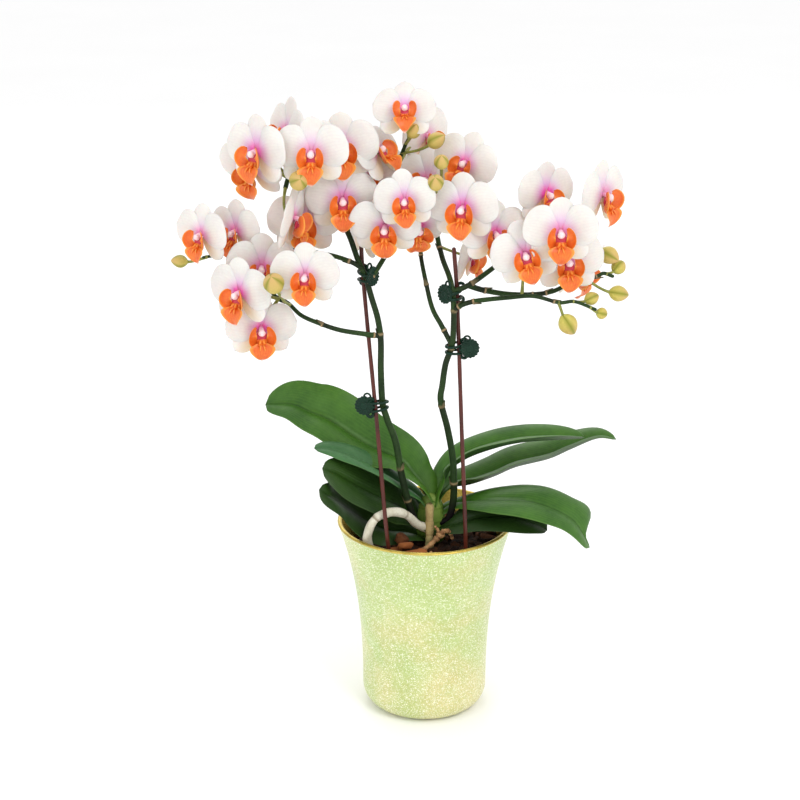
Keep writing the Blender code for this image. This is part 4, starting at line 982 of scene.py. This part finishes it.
def makeDriedRoot():
    # Dried roots: knobbly tubes that fork, with a curled stub at the end.
    share = np.linspace(0, 1, 50)
    grids = []
    for points, first, last in driedRoots:
        knobs = 1 + 0.16 * np.sin(31 * share + first) + 0.1 * np.sin(67 * share)
        radius = (first + (last - first) * share) * knobs * mm
        path = curveThrough(above(points), 50)
        grids.append(tubeOf(path, radius, 10, 0, (0.35 + 0.3 * np.sin(23 * share), 0)))
    return settle(pieceFrom("root_dried_fork", grids, [rootDry]), "root", "root_dried")


for name, shape in roots.items():
    makeRoot(name, *shape)
makeDriedRoot()
print("leaves, crown and roots made")


stake = {"radius": 1.45, "ripple": 0.03}
stakes = {  # centre lines in mm above the bark
    "stake_left": [(-18.5, -31.5, -20), (-26, -44, 14), (-34, -37, 106), (-41, -29, 183), (-43.5, -25, 215),
                   (-44, -24, 228)],
    "stake_right": [(26, -34, -20), (28, -38, 11), (24, -36, 106), (20.5, -31, 190), (18, -30, 225)],
}
for name, points in stakes.items():
    radius = stake["radius"] * (1 + stake["ripple"] * np.sin(60 * np.linspace(0, 1, 160))) * mm
    rod = tubeOf(curveThrough(above(points), 160), radius, 14)
    settle(pieceFrom(name + "_rod", [rod], [stakeBrown]), "stake", name)

clips = {  # spike, stake, height in mm above the bark, side of the disc, how far it faces outwards
    "clip_left_low": ("left", "stake_left", 116, -1, 0.2),
    "clip_left_top": ("left", "stake_left", 206, 1, 1.5),
    "clip_right_low": ("right", "stake_right", 157, 1, 0.2),
    "clip_right_top": ("right", "stake_right", 195, -1, 1.2),
}
clip = {
    "wire": 0.95, "clearance": 3.6, "depth": 3.7, "apart": 2.5, "curl": 2.0, "ring": 2.3, "ringWire": 0.7,
    "arm": 1.5, "ribs": 16, "ribHeight": 0.5, "ribShare": 0.07,
    "profile": [  # radius and height, back to front
        (0, -1.3), (3.0, -1.3), (5.6, -1.1), (6.3, -0.4), (6.3, 0.5), (5.9, 0.9), (5.0, 0.75), (4.0, 0.6),
        (2.9, 0.6), (2.4, 1.2), (1.9, 1.5), (1.0, 1.1), (0, 1.1),
    ],
}


def atHeight(points, height):
    # The place where a rising line through some points comes to a height.
    path = curveThrough(above(points), 300)
    path = path[:path[:, 2].argmax() + 1]
    return np.array([np.interp(height, path[:, 2], path[:, axis]) for axis in range(3)])


def makeClaws(centre, across, reach, hand):
    # Claw: an open loop (r cos a, d sin a) round stem and stake, with a thick tip and a curled tail.
    square, rise = np.array([-across[1], across[0], 0.0]), np.array([0.0, 0.0, 1.0])
    a, b = np.linspace(0.2, 2 * np.pi - 0.35, 60)[:, None], np.linspace(0, 1.6 * np.pi, 18)[:, None]
    grids = []
    for step in (-1, 1):
        loop = (centre + across * (reach * np.cos(a)) + square * (clip["depth"] * mm * np.sin(a))
                + rise * ((step * clip["apart"] + 0.6 * np.sin(a + step)) * mm))
        grids.append(tubeOf(loop, clip["wire"] * mm * (1 + 0.25 * (np.linspace(0, 1, 60) > 0.94)), 8))
        tail = loop[-1] + np.array([-hand, 0, 0]) * (clip["curl"] * mm * np.sin(b))
        tail = tail + np.array([0, -0.4, step]) * (0.95 * clip["curl"] * mm * (1 - np.cos(b)))
        grids.append(tubeOf(tail, np.linspace(clip["wire"], 1.25, 18) * mm, 8))
    return grids


def ribbedDisc(turn, middle):
    # Thumb disc: its profile turned round an axis, with ribs 0.5 + 0.5 cos(ribs a) towards the edge.
    profile = np.array(clip["profile"])
    share = np.linspace(0, 1, len(profile))
    profile = np.stack([np.interp(np.linspace(0, 1, 26), share, column) for column in profile.T], 1)
    a = np.linspace(0, 2 * np.pi, clip["ribs"] * 6 + 1)
    ribs = (0.5 + 0.5 * np.cos(clip["ribs"] * a)) * np.clip((profile[:, :1] - 2.6) / 1.2, 0, 1)
    r = profile[:, :1] * (1 + clip["ribShare"] * ribs)
    z = profile[:, 1:] + clip["ribHeight"] * ribs * np.sign(profile[:, 1:])
    return surface(np.stack([r * np.cos(a), r * np.sin(a), z], -1) * mm @ turn.T + middle)


def makeClip(name, spike, support, height, hand, outwardShare):
    # Clip: two wire claws curl round stem and stake, beside a ribbed disc with a boss and a small ring.
    level = barkTop + height * mm
    trunk, post = atHeight(stems[spike]["main"][0], level), atHeight(stakes[support], level)
    centre, reach = (trunk + post) / 2, np.linalg.norm(post - trunk) / 2 + clip["clearance"] * mm
    grids = makeClaws(centre, unit((post - trunk) * [1, 1, 0]), reach, hand)
    turn = turnTo((hand * outwardShare, -1.0, 0.12))
    middle = centre + np.array([hand * (reach + (4.0 - 3.4 * outwardShare) * mm), -2.4 * mm, 0.8 * mm])
    grids.append(ribbedDisc(turn, middle))
    a = np.linspace(0, 2 * np.pi, 25)
    ring = np.stack([clip["ring"] * np.cos(a), clip["ring"] * np.sin(a), 0 * a], -1) * mm @ turn.T
    grids.append(tubeOf(middle + np.array([-hand * 2.0, -0.6, 6.6]) * mm + ring, clip["ringWire"] * mm, 8))
    armStart = centre + np.array([hand * reach * 0.6, -3.2 * mm, 0])
    arm = curveThrough([armStart, middle - turn[:, 2] * 0.8 * mm], 8)
    grids.append(tubeOf(arm, clip["arm"] * mm, 8))
    return settle(pieceFrom(name + "_claw", grids, [clipGreen]), "clip", name)


for name, fit in clips.items():
    makeClip(name, *fit)
print("stakes and clips made")


floor = {"reach": 9.0, "below": 0.0005}
lights = {  # place, height aimed at, size in metres, watts
    "keyLight": ((0.8, -1.2, 1.6), 0.25, 0.7, 11),
    "fillLight": ((-1.3, -1.1, 0.9), 0.25, 1.2, 4),
    "backLight": ((-0.2, 1.4, 1.4), 0.3, 1.0, 6),
}
view = {"place": (-0.018, -1.24268, barkTop + 0.54549), "tilt": 70.601, "lens": 84.375, "clipEnd": 50}


def makeFloor():
    reach, z = floor["reach"], -floor["below"]
    mesh = bpy.data.meshes.new("studio_floor")
    mesh.from_pydata([(-reach, -reach, z), (reach, -reach, z), (reach, reach, z), (-reach, reach, z)],
                     [], [(0, 1, 2, 3)])
    item = bpy.data.objects.new("studio_floor", mesh)
    bpy.context.scene.collection.objects.link(item)
    material, tree, shader, place = newMaterial("studioFloor", Roughness=0.9)
    finish(tree, shader, mixColour(tree, noiseOf(tree, place, 3.0), (250, 250, 250), (254, 254, 254)))
    mesh.materials.append(material)


def addLight(name, place, aim, size, watts):
    # A square light turned so that it looks at the plant's axis.
    data = bpy.data.lights.new(name, "AREA")
    data.size, data.energy = size, watts
    item = bpy.data.objects.new(name, data)
    item.location = place
    x, y, z = -place[0], -place[1], aim - place[2]
    item.rotation_euler = Euler((math.atan2(math.hypot(x, y), -z), 0, math.atan2(-x, y)))
    bpy.context.scene.collection.objects.link(item)


makeFloor()
for name, setting in lights.items():
    addLight(name, *setting)
world = bpy.data.worlds.new("studioWorld")
bpy.context.scene.world = world
world.use_nodes = True
background = world.node_tree.nodes["Background"].inputs
background["Color"].default_value = (1, 1, 1, 1)
background["Strength"].default_value = 1.0
bpy.context.scene.view_settings.view_transform = "Standard"

cameraData = bpy.data.cameras.new("studioCamera")
cameraData.lens, cameraData.clip_end = view["lens"], view["clipEnd"]
camera = bpy.data.objects.new("studioCamera", cameraData)
camera.location = view["place"]
camera.rotation_euler = (math.radians(view["tilt"]), 0, 0)
bpy.context.scene.collection.objects.link(camera)
bpy.context.scene.camera = camera

print("scene made")
